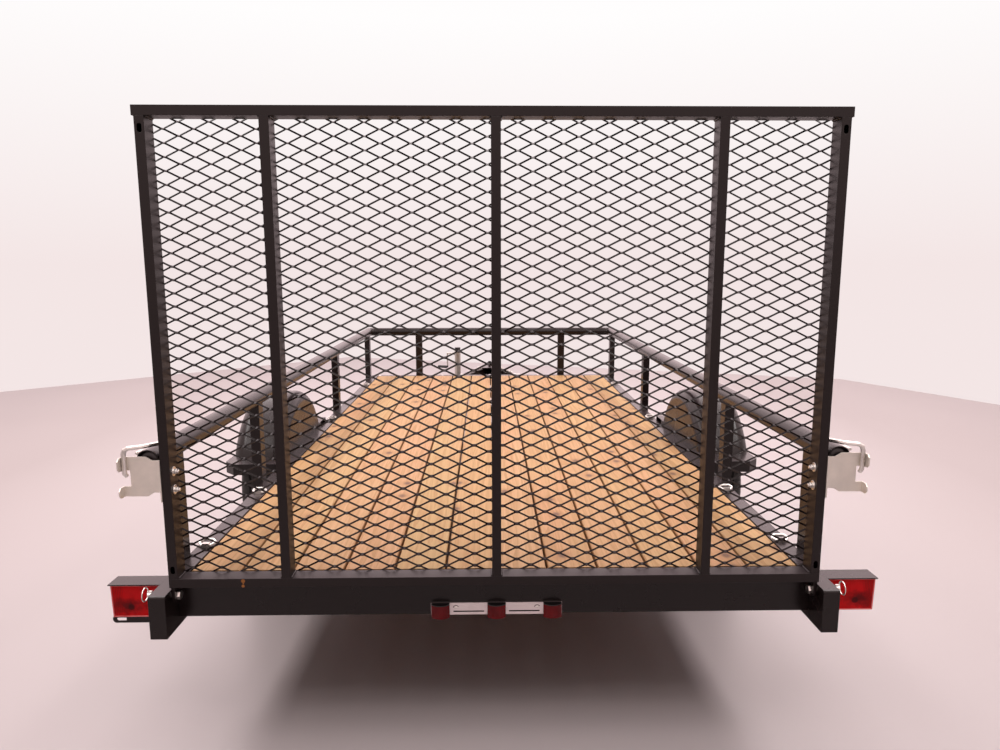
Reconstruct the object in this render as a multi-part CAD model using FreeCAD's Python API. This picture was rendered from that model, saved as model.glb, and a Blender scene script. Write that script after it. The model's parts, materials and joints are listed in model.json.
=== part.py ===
"""Single-axle utility trailer with a wooden deck, pipe side rails and a mesh ramp gate.

Millimetres.  While the pieces are made, X points right, Y points forward from the rear face of
the closed gate, and Z points up from the ground.  The pieces are moved along Y at the end, so
that the origin is the middle of the footprint.
"""
import FreeCAD
import Part
import math
import os

from FreeCAD import Vector

# Gate
gate_half_width = 914.4
gate_top_above_deck = 1268.0
gate_drop = 22.9             # how far the bottom bar reaches below the deck's top
gate_tube_face = 25.4        # width of each member, seen from behind
gate_tube_depth = 50.8
gate_tube_wall = 2.1
gate_bar_overhang = 6.0      # the top bar passes the side members by this much
gate_upright_x = 588.5       # the outer two of the three inner uprights
gate_gap = 12.7              # closed gate to the rear beam
gate_side_gap = 6.0          # gate to the pipe rail beside it
drain_slot_length = 22.9     # slots near the ends of the side members
drain_slot_width = 12.2
drain_slot_above_deck = 29.0
drain_slot_below_top = 56.0

# Expanded mesh on the front of the gate
mesh_long_way = 80.4         # width of one diamond
mesh_short_way = 35.45       # height of one diamond
mesh_strand = 4.6
mesh_layer = 1.6
mesh_land = 12.7             # from the gate's edge to the sheet's edge
mesh_border = 11.0

# Frame
rail_width = 50.8
rail_height = 76.2
rail_wall = 3.2
deck_length = 3594.1
board_thickness = 38.1
board_width = 139.7
board_gap = 6.4              # least gap between two boards
board_edge = 3.0             # eased edge of a board
board_side_gap = 3.0         # outer board to the side rail
rear_beam_depth = 50.8
rear_beam_height = 101.6
front_beam_depth = 50.8
cross_member_count = 6
cross_member_width = 50.8
cross_member_wall = 4.8

# Pipe rails round the deck, on posts outside the frame
pipe_radius = 30.15
pipe_wall = 3.2
pipe_above_deck = 341.6
pipe_behind_beam = 55.5      # the pipe passes the rear beam, beside the gate
post_width = 38.1
post_depth = 50.8
post_wall = 3.0
post_behind_axle = 641.0     # axle to the middle of the post behind the fender
post_ahead_of_axle = 877.0
corner_post_back = 65.0      # front beam to the middle of the last post
front_post_x = 559.5
tie_rod_radius = 4.4
tie_ring_half_width = 23.0    # centre line of the ring's rod, across the rail
tie_ring_half_length = 12.5
tie_ring_corner = 9.0
tie_ring_inward = 2.5        # ring's middle from the rail's centre line
tie_ring_tilt = 0.35         # rise of the ring's free side
tie_strap_half_width = 11.0
tie_strap_sheet = 2.5
tie_play = 0.3
tie_from_beam = 190.5
tie_behind_axle = 795.0
tie_ahead_of_axle = 513.0
tie_front_back = 482.0       # front beam to the last loop

# Hinge blocks at the rear corners and the gate's hinge
block_gap = 5.1              # gate to the block
block_width = 47.0
block_height = 125.9
block_wall = 5.0
block_behind_beam = 86.4
block_corner = 8.0
hinge_forward = 28.0         # hinge axis in front of the gate's rear face
hinge_below_deck = 56.0
hinge_pin_radius = 7.9
hinge_play = 0.08
hinge_head_radius = 13.0
hinge_head_length = 9.0
hinge_pin_tail = 22.0        # pin beyond the block
hinge_lock_radius = 3.0      # cross pin with its ring, through the hinge pin's tail
hinge_lock_inset = 9.0
hinge_ring_radius = 19.0
hinge_ring_wire = 1.8
lug_thickness = 10.0
lug_radius = 19.0
lug_play = 0.4               # lug to the bolt's head

# Gate latches, heights above the deck
latch_sheet = 3.2
latch_reach = 101.6          # plate's reach beyond the gate's side
latch_low = 245.0
latch_high = 356.0
latch_neck = 10.5            # the plate is this much lower beside the gate, at each edge
latch_neck_start = 19.3
latch_neck_end = 36.0
latch_notch_low = 273.6
latch_notch_high = 318.4
latch_notch_depth = 21.6
latch_tab_back = 30.0
latch_tab_corner = 8.0
latch_flange_low = 227.0
latch_flange_high = 328.0
bail_radius = 6.35
bail_above_pipe = 6.0
bail_gap = 0.3               # bail to the plate that it lies on

# Axle, springs and wheels
axle_from_beam = 1506.5      # rear beam's rear face to the axle
tyre_radius = 343.0
tyre_width = 203.0
tyre_gap = 15.0              # fender's inner skirt to the tyre
tyre_bead_radius = 196.0
tyre_bulge_radius = 263.0
tyre_shoulder_radius = 321.0
tyre_tread_half = 66.0
tyre_play = 0.3
rim_half_width = 80.0
rim_flange_radius = 204.0
rim_flange = 8.0
rim_seat = 32.0
rim_well_radius = 168.0
rim_sheet = 5.0
rim_disc_offset = 8.0
rim_vent_radius = 13.0
rim_vent_circle = 122.0
rim_vent_count = 8
hub_body_radius = 38.0
hub_flange_radius = 72.0
hub_flange_thickness = 12.0
hub_cap_radius = 29.0
hub_cap_length = 46.0
hub_cap_round = 9.0
stud_circle_radius = 57.15
stud_count = 5
nut_radius = 11.5
nut_length = 18.0
axle_tube_radius = 30.0
spindle_radius = 14.0
hub_play = 0.06
hub_gap = 8.0                # spring clamp to the hub
spring_width = 44.5
spring_leaf = 7.5
spring_span = 635.0
spring_camber = 72.0
spring_leaf_reach = (1.0, 0.78, 0.56, 0.34)
spring_eye_radius = 17.0
spring_bolt_radius = 7.0
hanger_drop = 33.5           # frame to the middle of a spring eye
hanger_sheet = 6.0
hanger_play = 0.4
hanger_half_length = 26.0
hanger_foot_half_length = 40.0
clamp_rod_radius = 5.5
clamp_plate = 9.0
clamp_plate_half_length = 52.0
clamp_plate_edge = 20.0
clamp_rod_tail = 16.0

# Fenders
fender_cover = 8.5           # fender beyond the tyre's outer side
fender_sheet = 2.5
fender_gap = 64.0            # tyre's tread to the arch
fender_shoulder = 55.0       # rounding between the arch's top and its sides
fender_centre_below_deck = 155.0
fender_step_above_deck = 22.0
fender_step_length = 111.0
fender_step_corner = 45.0
fender_lip = 48.0
fender_rim_lip = 12.0        # straight edge of the arch beyond each rounding

# Tongue, coupler and chains
tongue_reach = 1103.6        # front beam to the cut ends of the tongue rails
tongue_width = 50.8
tongue_height = 76.2
tongue_wall = 3.2
tongue_slope = 0.344         # sideways run for each millimetre back from the tip
tongue_tip_inset = 9.0       # where the rails' centre lines meet, behind their cut ends
coupler_plate = 6.0
coupler_plate_length = 240.0
coupler_skirt = 46.0
coupler_ball_ahead = 56.0
coupler_ball_radius = 25.4
coupler_play = 0.5
coupler_wall = 9.0
coupler_depth = 46.0
coupler_mouth = 14.0
coupler_crown = 12.0         # dome above the plate
coupler_latch_length = 105.0
coupler_latch_width = 26.0
coupler_latch_sheet = 5.0
chain_wire = 3.5
chain_pitch = 32.0           # inside length of a link
chain_inner_width = 12.0
chain_gap = 0.3              # between two links, and links to the rail
chain_link_count = 10
chain_behind_tip = 300.0     # tongue tip to the chain's first link, along the rail

# Jack on the left tongue rail
jack_behind_nose = 570.0
jack_offset = 91.4           # rail's centre line to the jack's axis
jack_tube_radius = 25.4
jack_tube_wall = 3.0
jack_tube_clearance = 215.0  # ground to the tube's lower end
jack_top_above_deck = 129.0
jack_leg_play = 0.5
jack_leg_overlap = 190.0     # leg inside the tube
jack_foot_half = 55.0
jack_foot_thickness = 6.0
jack_foot_corner = 16.0
jack_pivot_radius = 29.0
jack_collar_length = 34.0
jack_collar_gap = 1.0
jack_mount_plate = 8.0
jack_mount_half = 37.0
jack_cap_radius = 24.0
jack_cap_height = 24.0
jack_crank_drop = 30.0       # tube's upper end to the crank's shaft
jack_crank_shaft = 70.0
jack_crank_arm = 120.0
jack_crank_rod = 6.0
jack_grip_radius = 12.0
jack_grip_length = 80.0

# Lamps
shield_reach = 149.5         # beyond the hinge block
shield_back = 55.4
shield_front = 115.8
shield_sheet = 3.0
lamp_height = 97.0
lamp_inset = 5.0
lamp_draft = 3.0
lamp_wall = 2.5
lamp_bulb_radius = 10.0
lamp_bulb_length = 30.0
plate_arm_height = 15.5      # strip for the number plate, under the left lamp
plate_arm_drop = 121.2
plate_arm_reach = 153.5
plate_arm_slot = 28.0
plate_arm_slot_width = 7.0
id_bar_half_length = 191.0
id_bar_drop = 66.3           # rear beam's top to the bar's top
id_bar_height = 36.6
id_bar_sheet = 4.0
id_lamp_spacing = 163.0
id_lamp_half = 26.5
id_lamp_side = 9.0           # straight side of the lens before it curves
id_lamp_depth = 20.0
id_lamp_overhang = 5.0
id_lamp_hood = 2.5

# Heights that follow from the sizes above, from the ground up through the springs
spring_top = tyre_radius - axle_tube_radius
spring_eye_z = spring_top + spring_camber + spring_eye_radius - spring_leaf / 2
rail_bottom = spring_eye_z + hanger_drop
deck_height = rail_bottom + rail_height
board_bottom = deck_height - board_thickness
gate_top = deck_height + gate_top_above_deck
gate_bottom = deck_height - gate_drop
pipe_height = deck_height + pipe_above_deck
hinge_height = deck_height - hinge_below_deck
beam_bottom = board_bottom - rear_beam_height
tongue_bottom = rail_bottom - tongue_height
fender_radius = tyre_radius + fender_gap
fender_centre_z = deck_height - fender_centre_below_deck
fender_step_z = deck_height + fender_step_above_deck

# Places along the trailer
beam_back = gate_tube_depth + gate_gap
beam_front = beam_back + rear_beam_depth
deck_front = beam_back + deck_length
frame_front = deck_front + front_beam_depth
front_pipe_y = frame_front + post_width / 2
axle_y = beam_back + axle_from_beam
block_back = beam_back - block_behind_beam
block_front = beam_back + rail_height
tongue_nose = frame_front + tongue_reach
tongue_tip = tongue_nose - tongue_tip_inset
coupler_ball_y = tongue_nose + coupler_ball_ahead
jack_y = tongue_nose - jack_behind_nose

# Places across the trailer, on the right side
pipe_x = gate_half_width + gate_side_gap + pipe_radius
frame_half_width = pipe_x - post_width / 2
rail_inner_x = frame_half_width - rail_width
rail_x = frame_half_width - rail_width / 2
block_inner_x = gate_half_width + block_gap
block_outer_x = block_inner_x + block_width
tyre_x = frame_half_width + fender_sheet + tyre_gap + tyre_width / 2
fender_outer_x = tyre_x + tyre_width / 2 + fender_cover
clamp_x = spring_width / 2 + clamp_rod_radius + 1
hub_inner_x = rail_x + clamp_x + clamp_rod_radius + hub_gap
shield_outer_x = block_outer_x + shield_reach

ALONG_X = Vector(1, 0, 0)
ALONG_Y = Vector(0, 1, 0)
ALONG_Z = Vector(0, 0, 1)

nodes = {}


def add(name, *shapes):
    nodes.setdefault(name, []).extend(shapes)


def mirrored(shape):
    return shape.mirror(Vector(0, 0, 0), ALONG_X)


def both_sides(name, shape):
    add(name, shape, mirrored(shape))


def box(x0, x1, y0, y1, z0, z1):
    return Part.makeBox(x1 - x0, y1 - y0, z1 - z0, Vector(x0, y0, z0))


def rod(start, direction, radius, length):
    return Part.makeCylinder(radius, length, start, direction)


def hexagon(start, direction, radius, length):
    """Hexagonal prism, for bolt heads and nuts."""
    across = direction.cross(ALONG_Z if abs(direction.z) < 0.5 else ALONG_X).normalize()
    up = direction.cross(across)
    corners = [start + across * radius * math.cos(k * math.pi / 3)
               + up * radius * math.sin(k * math.pi / 3) for k in range(6)]
    return plate(corners, direction, length)


def tube_box(x0, x1, y0, y1, z0, z1, wall, along):
    """Rectangular tube between the given faces, open at both ends along one axis."""
    lows = [x0 + wall, y0 + wall, z0 + wall]
    highs = [x1 - wall, y1 - wall, z1 - wall]
    index = {"x": 0, "y": 1, "z": 2}[along]
    lows[index] = (x0, y0, z0)[index] - 1
    highs[index] = (x1, y1, z1)[index] + 1
    inside = box(lows[0], highs[0], lows[1], highs[1], lows[2], highs[2])
    return box(x0, x1, y0, y1, z0, z1).cut(inside)


def plate(points, direction, thickness):
    """Flat plate from its corner points, thickened along a direction."""
    face = Part.Face(Part.makePolygon(points + points[:1]))
    return face.extrude(direction * thickness)


def fuse(first, *others):
    result = first
    for other in others:
        result = result.fuse(other)
    return result.removeSplitter()


def bent_rod(points, radius, sides=8, closed=False):
    """Rod along straight runs that meet in mitred corners, with a regular polygon as section."""
    count = len(points)
    runs = [(points[(k + 1) % count] - points[k]).normalize()
            for k in range(count if closed else count - 1)]
    side = runs[0].cross(ALONG_X if abs(runs[0].x) < 0.9 else ALONG_Y).normalize()
    up = runs[0].cross(side)
    ring = []
    for k in range(sides):
        angle = 2 * math.pi * (k + 0.5) / sides
        ring.append(points[0] + (side * math.cos(angle) + up * math.sin(angle)) * radius)
    rings = []
    for k in range(count + 1 if closed else count):
        before = runs[k - 1] if closed or k else runs[0]
        after = runs[k % len(runs)] if closed or k < len(runs) else runs[-1]
        mitre = before + after
        slide = after if k == 0 else before
        at = points[k % count]
        ring = [p + slide * ((at - p).dot(mitre) / slide.dot(mitre)) for p in ring]
        rings.append(ring)
    faces = []
    for low, high in zip(rings, rings[1:]):
        for k in range(sides):
            n = (k + 1) % sides
            faces.append(Part.Face(Part.makePolygon([low[k], low[n], high[n], high[k], low[k]])))
    if not closed:
        for end in (rings[0], rings[-1]):
            faces.append(Part.Face(Part.makePolygon(end + end[:1])))
    solid = Part.Solid(Part.Shell(faces))
    return solid if solid.Volume > 0 else solid.reversed()


def arc_points(centre, first, second, radius, start, end, steps):
    """Points on an arc; angles in degrees from the first direction towards the second."""
    points = []
    for k in range(steps + 1):
        angle = math.radians(start + (end - start) * k / steps)
        points.append(centre + first * radius * math.cos(angle) + second * radius * math.sin(angle))
    return points


def make_frame():
    rail = tube_box(rail_inner_x, frame_half_width, beam_back, frame_front, rail_bottom,
                    deck_height, rail_wall, "y")
    over_beam = box(rail_inner_x, frame_half_width, beam_back, beam_front, rail_bottom, board_bottom)
    both_sides("side_rails", rail.cut(over_beam))
    add("rear_beam", tube_box(-block_inner_x, block_inner_x, beam_back, beam_front,
                              beam_bottom, board_bottom, rail_wall, "x"))
    add("front_beam", tube_box(-rail_inner_x, rail_inner_x, deck_front, frame_front,
                               rail_bottom, deck_height, rail_wall, "x"))
    for y in cross_member_places():
        top = box(-rail_inner_x, rail_inner_x, y, y + cross_member_width,
                  board_bottom - cross_member_wall, board_bottom)
        web = box(-rail_inner_x, rail_inner_x, y, y + cross_member_wall, rail_bottom, board_bottom)
        add("cross_members", fuse(top, web))


def cross_member_places():
    """Rear edge of each cross member, evenly spaced between the two beams."""
    pitch = (deck_front - beam_front) / (cross_member_count + 1)
    return [beam_front + pitch * (k + 1) - cross_member_width / 2
            for k in range(cross_member_count)]


def make_deck():
    clear_width = 2 * (rail_inner_x - board_side_gap)
    count = int((clear_width + board_gap) / (board_width + board_gap))
    pitch = (clear_width - board_width) / (count - 1)
    for k in range(count):
        left = -clear_width / 2 + k * pitch
        right = left + board_width
        outline = [(left, board_bottom), (right, board_bottom), (right, deck_height - board_edge),
                   (right - board_edge, deck_height), (left + board_edge, deck_height),
                   (left, deck_height - board_edge)]
        add("deck_boards", plate([Vector(x, beam_back, z) for x, z in outline], ALONG_Y, deck_length))


def pipe_run(start, end):
    direction = end - start
    outer = rod(start, direction, pipe_radius, direction.Length)
    return outer.cut(rod(start, direction, pipe_radius - pipe_wall, direction.Length))


def make_top_rails():
    reach = 4 * pipe_radius
    corner = Vector(pipe_x, front_pipe_y, pipe_height)
    side = pipe_run(Vector(pipe_x, beam_back - pipe_behind_beam, pipe_height),
                    corner + ALONG_Y * reach)
    front = pipe_run(corner - ALONG_X * (2 * pipe_x + reach), corner + ALONG_X * reach)
    low = corner - Vector(reach, reach, reach)
    ahead = plate([low, low + Vector(2 * reach, 2 * reach, 0), low + Vector(0, 4 * reach, 0)],
                  ALONG_Z, 2 * reach)
    beside = plate([low, low + Vector(2 * reach, 2 * reach, 0), low + Vector(4 * reach, 0, 0)],
                   ALONG_Z, 2 * reach)
    side = side.cut(ahead)
    add("top_rail_right", side)
    add("top_rail_left", mirrored(side))
    add("top_rail_front", front.cut(beside).cut(mirrored(beside)))


def post(x, y, half_x, half_y):
    """Post on the frame's outside with its top shaped to the pipe that it carries."""
    return tube_box(x - half_x, x + half_x, y - half_y, y + half_y, rail_bottom, pipe_height,
                    post_wall, "z")


def make_posts():
    side_pipe = rod(Vector(pipe_x, 0, pipe_height), ALONG_Y, pipe_radius, frame_front)
    front_pipe = rod(Vector(-pipe_x, front_pipe_y, pipe_height), ALONG_X, pipe_radius, 2 * pipe_x)
    for y in (block_front + post_depth / 2, axle_y - post_behind_axle,
              axle_y + post_ahead_of_axle, frame_front - corner_post_back):
        upright = post(pipe_x, y, post_width / 2, post_depth / 2)
        both_sides("rail_posts", upright.cut(side_pipe))
    upright = post(front_post_x, front_pipe_y, post_depth / 2, post_width / 2)
    both_sides("rail_posts", upright.cut(front_pipe))


def make_tie_loops():
    """Rings for straps, lying across the side rails, each held by a strap welded on the rail."""
    height = deck_height + tie_rod_radius + tie_play
    middle_x = rail_x - tie_ring_inward
    wide = tie_ring_half_width
    long = tie_ring_half_length
    cut = tie_ring_corner
    outline = [(wide - cut, -long), (wide, cut - long), (wide, long - cut), (wide - cut, long),
               (cut - wide, long), (-wide, long - cut), (-wide, cut - long), (cut - wide, -long)]
    hole_radius = tie_rod_radius + tie_play
    reach = hole_radius + tie_strap_sheet
    for y in (beam_back + tie_from_beam, axle_y - tie_behind_axle, axle_y + tie_ahead_of_axle,
              frame_front - tie_front_back):
        points = [Vector(middle_x + across, y + run, height + (run + long) * tie_ring_tilt)
                  for across, run in outline]
        held_y = y - long
        strap = box(middle_x - tie_strap_half_width, middle_x + tie_strap_half_width,
                    held_y - reach, held_y + reach, deck_height, height + reach)
        hole = rod(Vector(rail_inner_x, held_y, height), ALONG_X, hole_radius, rail_width)
        mouth = box(rail_inner_x, frame_half_width, held_y - hole_radius, held_y + hole_radius,
                    deck_height, height)
        both_sides("tie_loops", strap.cut(hole.fuse(mouth)))
        both_sides("tie_loops", bent_rod(points, tie_rod_radius, 6, True))


def make_hinges():
    outline = [(block_inner_x, block_back), (block_outer_x, block_back),
               (block_outer_x, block_front), (frame_half_width, block_front),
               (frame_half_width, beam_front), (block_inner_x, beam_front)]
    low = board_bottom - block_height
    block = plate([Vector(x, y, low) for x, y in outline], ALONG_Z, block_height)
    rear_edges = [edge for edge in block.Edges
                  if edge.BoundBox.YMax < block_back + 1 and edge.BoundBox.ZMin > low + 1]
    block = block.makeFillet(block_corner, rear_edges)
    inside = box(block_inner_x + block_wall, block_outer_x - block_wall, block_back + block_wall,
                 beam_front, low - 1, board_bottom - block_wall)
    inside = inside.cut(box(rail_inner_x, frame_half_width + block_wall, beam_front - block_wall,
                            block_front, low - 1, deck_height))
    pin_start = Vector(gate_half_width - lug_thickness - lug_play - hinge_head_length,
                       hinge_forward, hinge_height)
    pin_length = block_outer_x + hinge_pin_tail - pin_start.x
    hole = rod(pin_start, ALONG_X, hinge_pin_radius + hinge_play, pin_length)
    both_sides("hinge_blocks", block.cut(inside).cut(hole))

    lock_x = block_outer_x + hinge_pin_tail - hinge_lock_inset
    lock_low = hinge_height - hinge_pin_radius - 6
    lock_top = hinge_height + hinge_pin_radius + 4
    pin = rod(pin_start, ALONG_X, hinge_pin_radius, pin_length)
    head = hexagon(pin_start, ALONG_X, hinge_head_radius, hinge_head_length)
    lock = rod(Vector(lock_x, hinge_forward, lock_low), ALONG_Z, hinge_lock_radius,
               lock_top - lock_low)
    ring_centre = Vector(lock_x + hinge_pin_radius, hinge_forward,
                         lock_top - hinge_ring_wire)
    ring = bent_rod(arc_points(ring_centre + ALONG_Y * -hinge_ring_radius, ALONG_Y, ALONG_Z,
                               hinge_ring_radius, 0, 330, 11), hinge_ring_wire, 6, True)
    knob = box(lock_x - hinge_lock_radius, ring_centre.x + hinge_ring_wire,
               hinge_forward - hinge_lock_radius, hinge_forward + hinge_lock_radius,
               lock_top - 2 * hinge_lock_radius, lock_top)
    both_sides("hinge_pins", fuse(pin, head, lock, knob, ring))

    neck = box(gate_half_width - lug_thickness, gate_half_width, hinge_forward - lug_radius,
               hinge_forward + lug_radius, hinge_height, gate_bottom)
    eye = rod(Vector(gate_half_width - lug_thickness, hinge_forward, hinge_height),
              ALONG_X, lug_radius, lug_thickness)
    both_sides("gate_lugs", fuse(neck, eye).cut(hole))


def drain_slot(z):
    """Upright slot through the rear wall of a side member."""
    half = drain_slot_width / 2
    straight = drain_slot_length / 2 - half
    x = gate_half_width - gate_tube_face / 2
    slot = box(x - half, x + half, -1, gate_tube_wall + 1, z - straight, z + straight)
    for end in (z - straight, z + straight):
        slot = slot.fuse(rod(Vector(x, -1, end), ALONG_Y, half, gate_tube_wall + 2))
    return slot


def make_gate():
    face = gate_tube_face
    top_bar_bottom = gate_top - face
    low = gate_bottom + face
    end_x = gate_half_width + gate_bar_overhang
    add("gate_top_bar", tube_box(-end_x, end_x, 0, gate_tube_depth, top_bar_bottom, gate_top,
                                 gate_tube_wall, "x"))
    add("gate_bottom_bar", tube_box(-gate_half_width, gate_half_width, 0, gate_tube_depth,
                                    gate_bottom, low, gate_tube_wall, "x"))
    for x in (-gate_upright_x, 0, gate_upright_x):
        add("gate_uprights", tube_box(x - face / 2, x + face / 2, 0, gate_tube_depth,
                                      low, top_bar_bottom, gate_tube_wall, "z"))
    side = tube_box(gate_half_width - face, gate_half_width, 0, gate_tube_depth, low,
                    top_bar_bottom, gate_tube_wall, "z")
    side = side.cut(drain_slot(deck_height + drain_slot_above_deck))
    side = side.cut(drain_slot(gate_top - drain_slot_below_top))
    both_sides("gate_uprights", side)


def mesh_sheet(y, lean):
    """One layer of the expanded mesh: a thin sheet with parallel slots leaning one way."""
    half = gate_half_width - mesh_land
    low = gate_bottom + mesh_land
    high = gate_top - mesh_land
    sheet = box(-half, half, y, y + mesh_layer, low, high)
    window = box(-half + mesh_border, half - mesh_border, y, y + mesh_layer,
                 low + mesh_border, high - mesh_border)
    slope = lean * mesh_short_way / mesh_long_way
    strand_rise = mesh_strand * math.hypot(1, slope)
    rise = abs(slope) * 2 * half
    rows = int((high - low + rise) / mesh_short_way) + 1
    slots = []
    for k in range(rows):
        left_z = (low if lean < 0 else low - rise) + k * mesh_short_way + strand_rise / 2
        top_z = left_z + mesh_short_way - strand_rise
        run = slope * 2 * half
        slots.append(plate([Vector(-half, y, left_z), Vector(half, y, left_z + run),
                            Vector(half, y, top_z + run), Vector(-half, y, top_z)],
                           ALONG_Y, mesh_layer))
    return sheet.cut(Part.makeCompound(slots).common(window))


def make_mesh():
    add("gate_mesh_back", mesh_sheet(gate_tube_depth, 1))
    add("gate_mesh_front", mesh_sheet(gate_tube_depth + mesh_layer, -1))


def latch_outline():
    """Corners of the latch plate as seen from behind, from its lower inner corner."""
    inner = gate_half_width
    outer = inner + latch_reach
    notch = outer - latch_notch_depth
    return [(inner, latch_low + latch_neck), (inner + latch_neck_start, latch_low + latch_neck),
            (inner + latch_neck_end, latch_low), (outer, latch_low), (outer, latch_notch_low),
            (notch, latch_notch_low), (notch, latch_notch_high), (outer, latch_notch_high),
            (outer, latch_high), (inner + latch_neck_end, latch_high),
            (inner + latch_neck_start, latch_high - latch_neck), (inner, latch_high - latch_neck)]


def make_latches():
    outer = gate_half_width + latch_reach
    main = plate([Vector(x, -latch_sheet, deck_height + z) for x, z in latch_outline()],
                 ALONG_Y, latch_sheet)
    flange = box(gate_half_width, gate_half_width + latch_sheet, -latch_sheet, gate_tube_depth,
                 deck_height + latch_flange_low, deck_height + latch_flange_high)
    tabs = []
    for low, high in ((latch_low, latch_notch_low), (latch_notch_high, latch_high)):
        end = -latch_tab_back
        corner = end + latch_tab_corner
        outline = [(0, low), (0, high), (corner, high), (end, high - latch_tab_corner),
                   (end, low + latch_tab_corner), (corner, low)]
        tabs.append(plate([Vector(outer - latch_sheet, y, deck_height + z) for y, z in outline],
                          ALONG_X, latch_sheet))
    both_sides("latch_plates", fuse(main, flange, *tabs))

    behind = -latch_sheet - bail_gap - bail_radius
    drop_x = outer - latch_sheet - bail_gap - bail_radius
    hook_z = latch_notch_high - 2 * bail_radius
    over_z = pipe_above_deck + pipe_radius + bail_above_pipe + bail_radius
    gate_end_x = gate_half_width + bail_radius
    route = [(drop_x - 3, behind + 5, hook_z - 3), (drop_x, behind, hook_z + 6),
             (drop_x, behind, over_z - 18), (drop_x - 4, behind, over_z - 8),
             (drop_x - 13, behind + 1, over_z - 3), (pipe_x + 8, behind + 8, over_z),
             (gate_end_x, gate_tube_depth - bail_radius, over_z)]
    both_sides("latch_bails", bent_rod([Vector(x, y, deck_height + z) for x, y, z in route],
                                       bail_radius))


def make_axle():
    tube_end = hub_inner_x - hub_gap / 2
    tube = rod(Vector(-tube_end, axle_y, tyre_radius), ALONG_X, axle_tube_radius, 2 * tube_end)
    spindle = rod(Vector(-tyre_x, axle_y, tyre_radius), ALONG_X, spindle_radius, 2 * tyre_x)
    add("axle", fuse(tube, spindle))


def leaf(reach, depth):
    """Curved leaf, bowed down in the middle; depth counts the leaves above it."""
    half = spring_span / 2
    bow = (half * half + spring_camber * spring_camber) / (2 * spring_camber)
    inner = bow + depth * spring_leaf
    outer = inner + spring_leaf
    turn = math.asin(half / bow) * reach
    middle = Vector(rail_x - spring_width / 2, axle_y, spring_top + bow)

    def at(radius, angle):
        return middle + Vector(0, radius * math.sin(angle), -radius * math.cos(angle))

    edges = [Part.Arc(at(inner, -turn), at(inner, 0), at(inner, turn)).toShape(),
             Part.LineSegment(at(inner, turn), at(outer, turn)).toShape(),
             Part.Arc(at(outer, turn), at(outer, 0), at(outer, -turn)).toShape(),
             Part.LineSegment(at(outer, -turn), at(inner, -turn)).toShape()]
    return Part.Face(Part.Wire(edges)).extrude(ALONG_X * spring_width)


def make_springs():
    left = rail_x - spring_width / 2
    stack = fuse(*[leaf(reach, depth) for depth, reach in enumerate(spring_leaf_reach)])
    eyes = [Vector(left, axle_y + side * spring_span / 2, spring_eye_z) for side in (-1, 1)]
    for eye in eyes:
        stack = stack.fuse(rod(eye, ALONG_X, spring_eye_radius, spring_width))
    for eye in eyes:
        stack = stack.cut(rod(eye, ALONG_X, spring_bolt_radius + hanger_play, spring_width))
    both_sides("leaf_springs", stack.removeSplitter())
    for eye in eyes:
        both_sides("spring_hangers", hanger(eye))


def hanger(eye):
    """Two cheeks under the frame with the bolt that carries a spring eye."""
    low = spring_eye_z - hanger_half_length
    outline = [(-hanger_foot_half_length, rail_bottom), (-hanger_half_length, spring_eye_z),
               (-hanger_half_length / 2, low), (hanger_half_length / 2, low),
               (hanger_half_length, spring_eye_z), (hanger_foot_half_length, rail_bottom)]
    inner = eye.x - hanger_play - hanger_sheet
    outer = eye.x + spring_width + hanger_play
    cheeks = [plate([Vector(x, eye.y + run, z) for run, z in outline], ALONG_X, hanger_sheet)
              for x in (inner, outer)]
    bolt = rod(Vector(inner, eye.y, eye.z), ALONG_X, spring_bolt_radius,
               outer + hanger_sheet - inner)
    head = 2 * spring_bolt_radius - 3
    ends = [hexagon(Vector(inner - spring_bolt_radius, eye.y, eye.z), ALONG_X, head,
                    spring_bolt_radius),
            hexagon(Vector(outer + hanger_sheet, eye.y, eye.z), ALONG_X, head,
                    spring_bolt_radius)]
    return fuse(bolt, *(cheeks + ends))


def make_spring_clamps():
    """Plate under each spring with two U-bolts over the axle."""
    plate_top = spring_top - spring_leaf * len(spring_leaf_reach)
    plate_low = plate_top - clamp_plate
    foot = plate_low - clamp_rod_tail
    over = axle_tube_radius + clamp_rod_radius
    edge = spring_width / 2 + clamp_plate_edge
    pieces = [box(rail_x - edge, rail_x + edge, axle_y - clamp_plate_half_length,
                  axle_y + clamp_plate_half_length, plate_low, plate_top)]
    bend_reach = over / math.cos(math.pi / 12)
    for side in (-1, 1):
        middle = Vector(rail_x + side * clamp_x, axle_y, tyre_radius)
        bend = arc_points(middle, ALONG_Y, ALONG_Z, bend_reach, 15, 165, 5)
        route = [Vector(middle.x, axle_y + over, foot)] + bend + [Vector(middle.x, axle_y - over, foot)]
        pieces.append(bent_rod(route, clamp_rod_radius))
        for y in (axle_y - over, axle_y + over):
            pieces.append(hexagon(Vector(middle.x, y, plate_low - clamp_plate), ALONG_Z,
                                  2 * clamp_rod_radius, clamp_plate))
    both_sides("spring_clamps", fuse(*pieces))


def turned(profile, centre):
    """Solid of revolution about the wheel's axis from (x, radius) points."""
    points = [centre + Vector(x, 0, radius) for x, radius in profile]
    face = Part.Face(Part.makePolygon(points + points[:1]))
    return face.revolve(centre, ALONG_X, 360)


def tyre_profile():
    half = tyre_width / 2
    bead_x = rim_half_width - rim_flange - tyre_play
    right = [(bead_x, tyre_bead_radius), (bead_x, rim_flange_radius + 2),
             (half, tyre_bulge_radius), (half - 9, tyre_shoulder_radius - 14),
             (tyre_tread_half + 14, tyre_shoulder_radius + 11), (tyre_tread_half, tyre_radius)]
    return right + [(-x, radius) for x, radius in reversed(right)]


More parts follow.
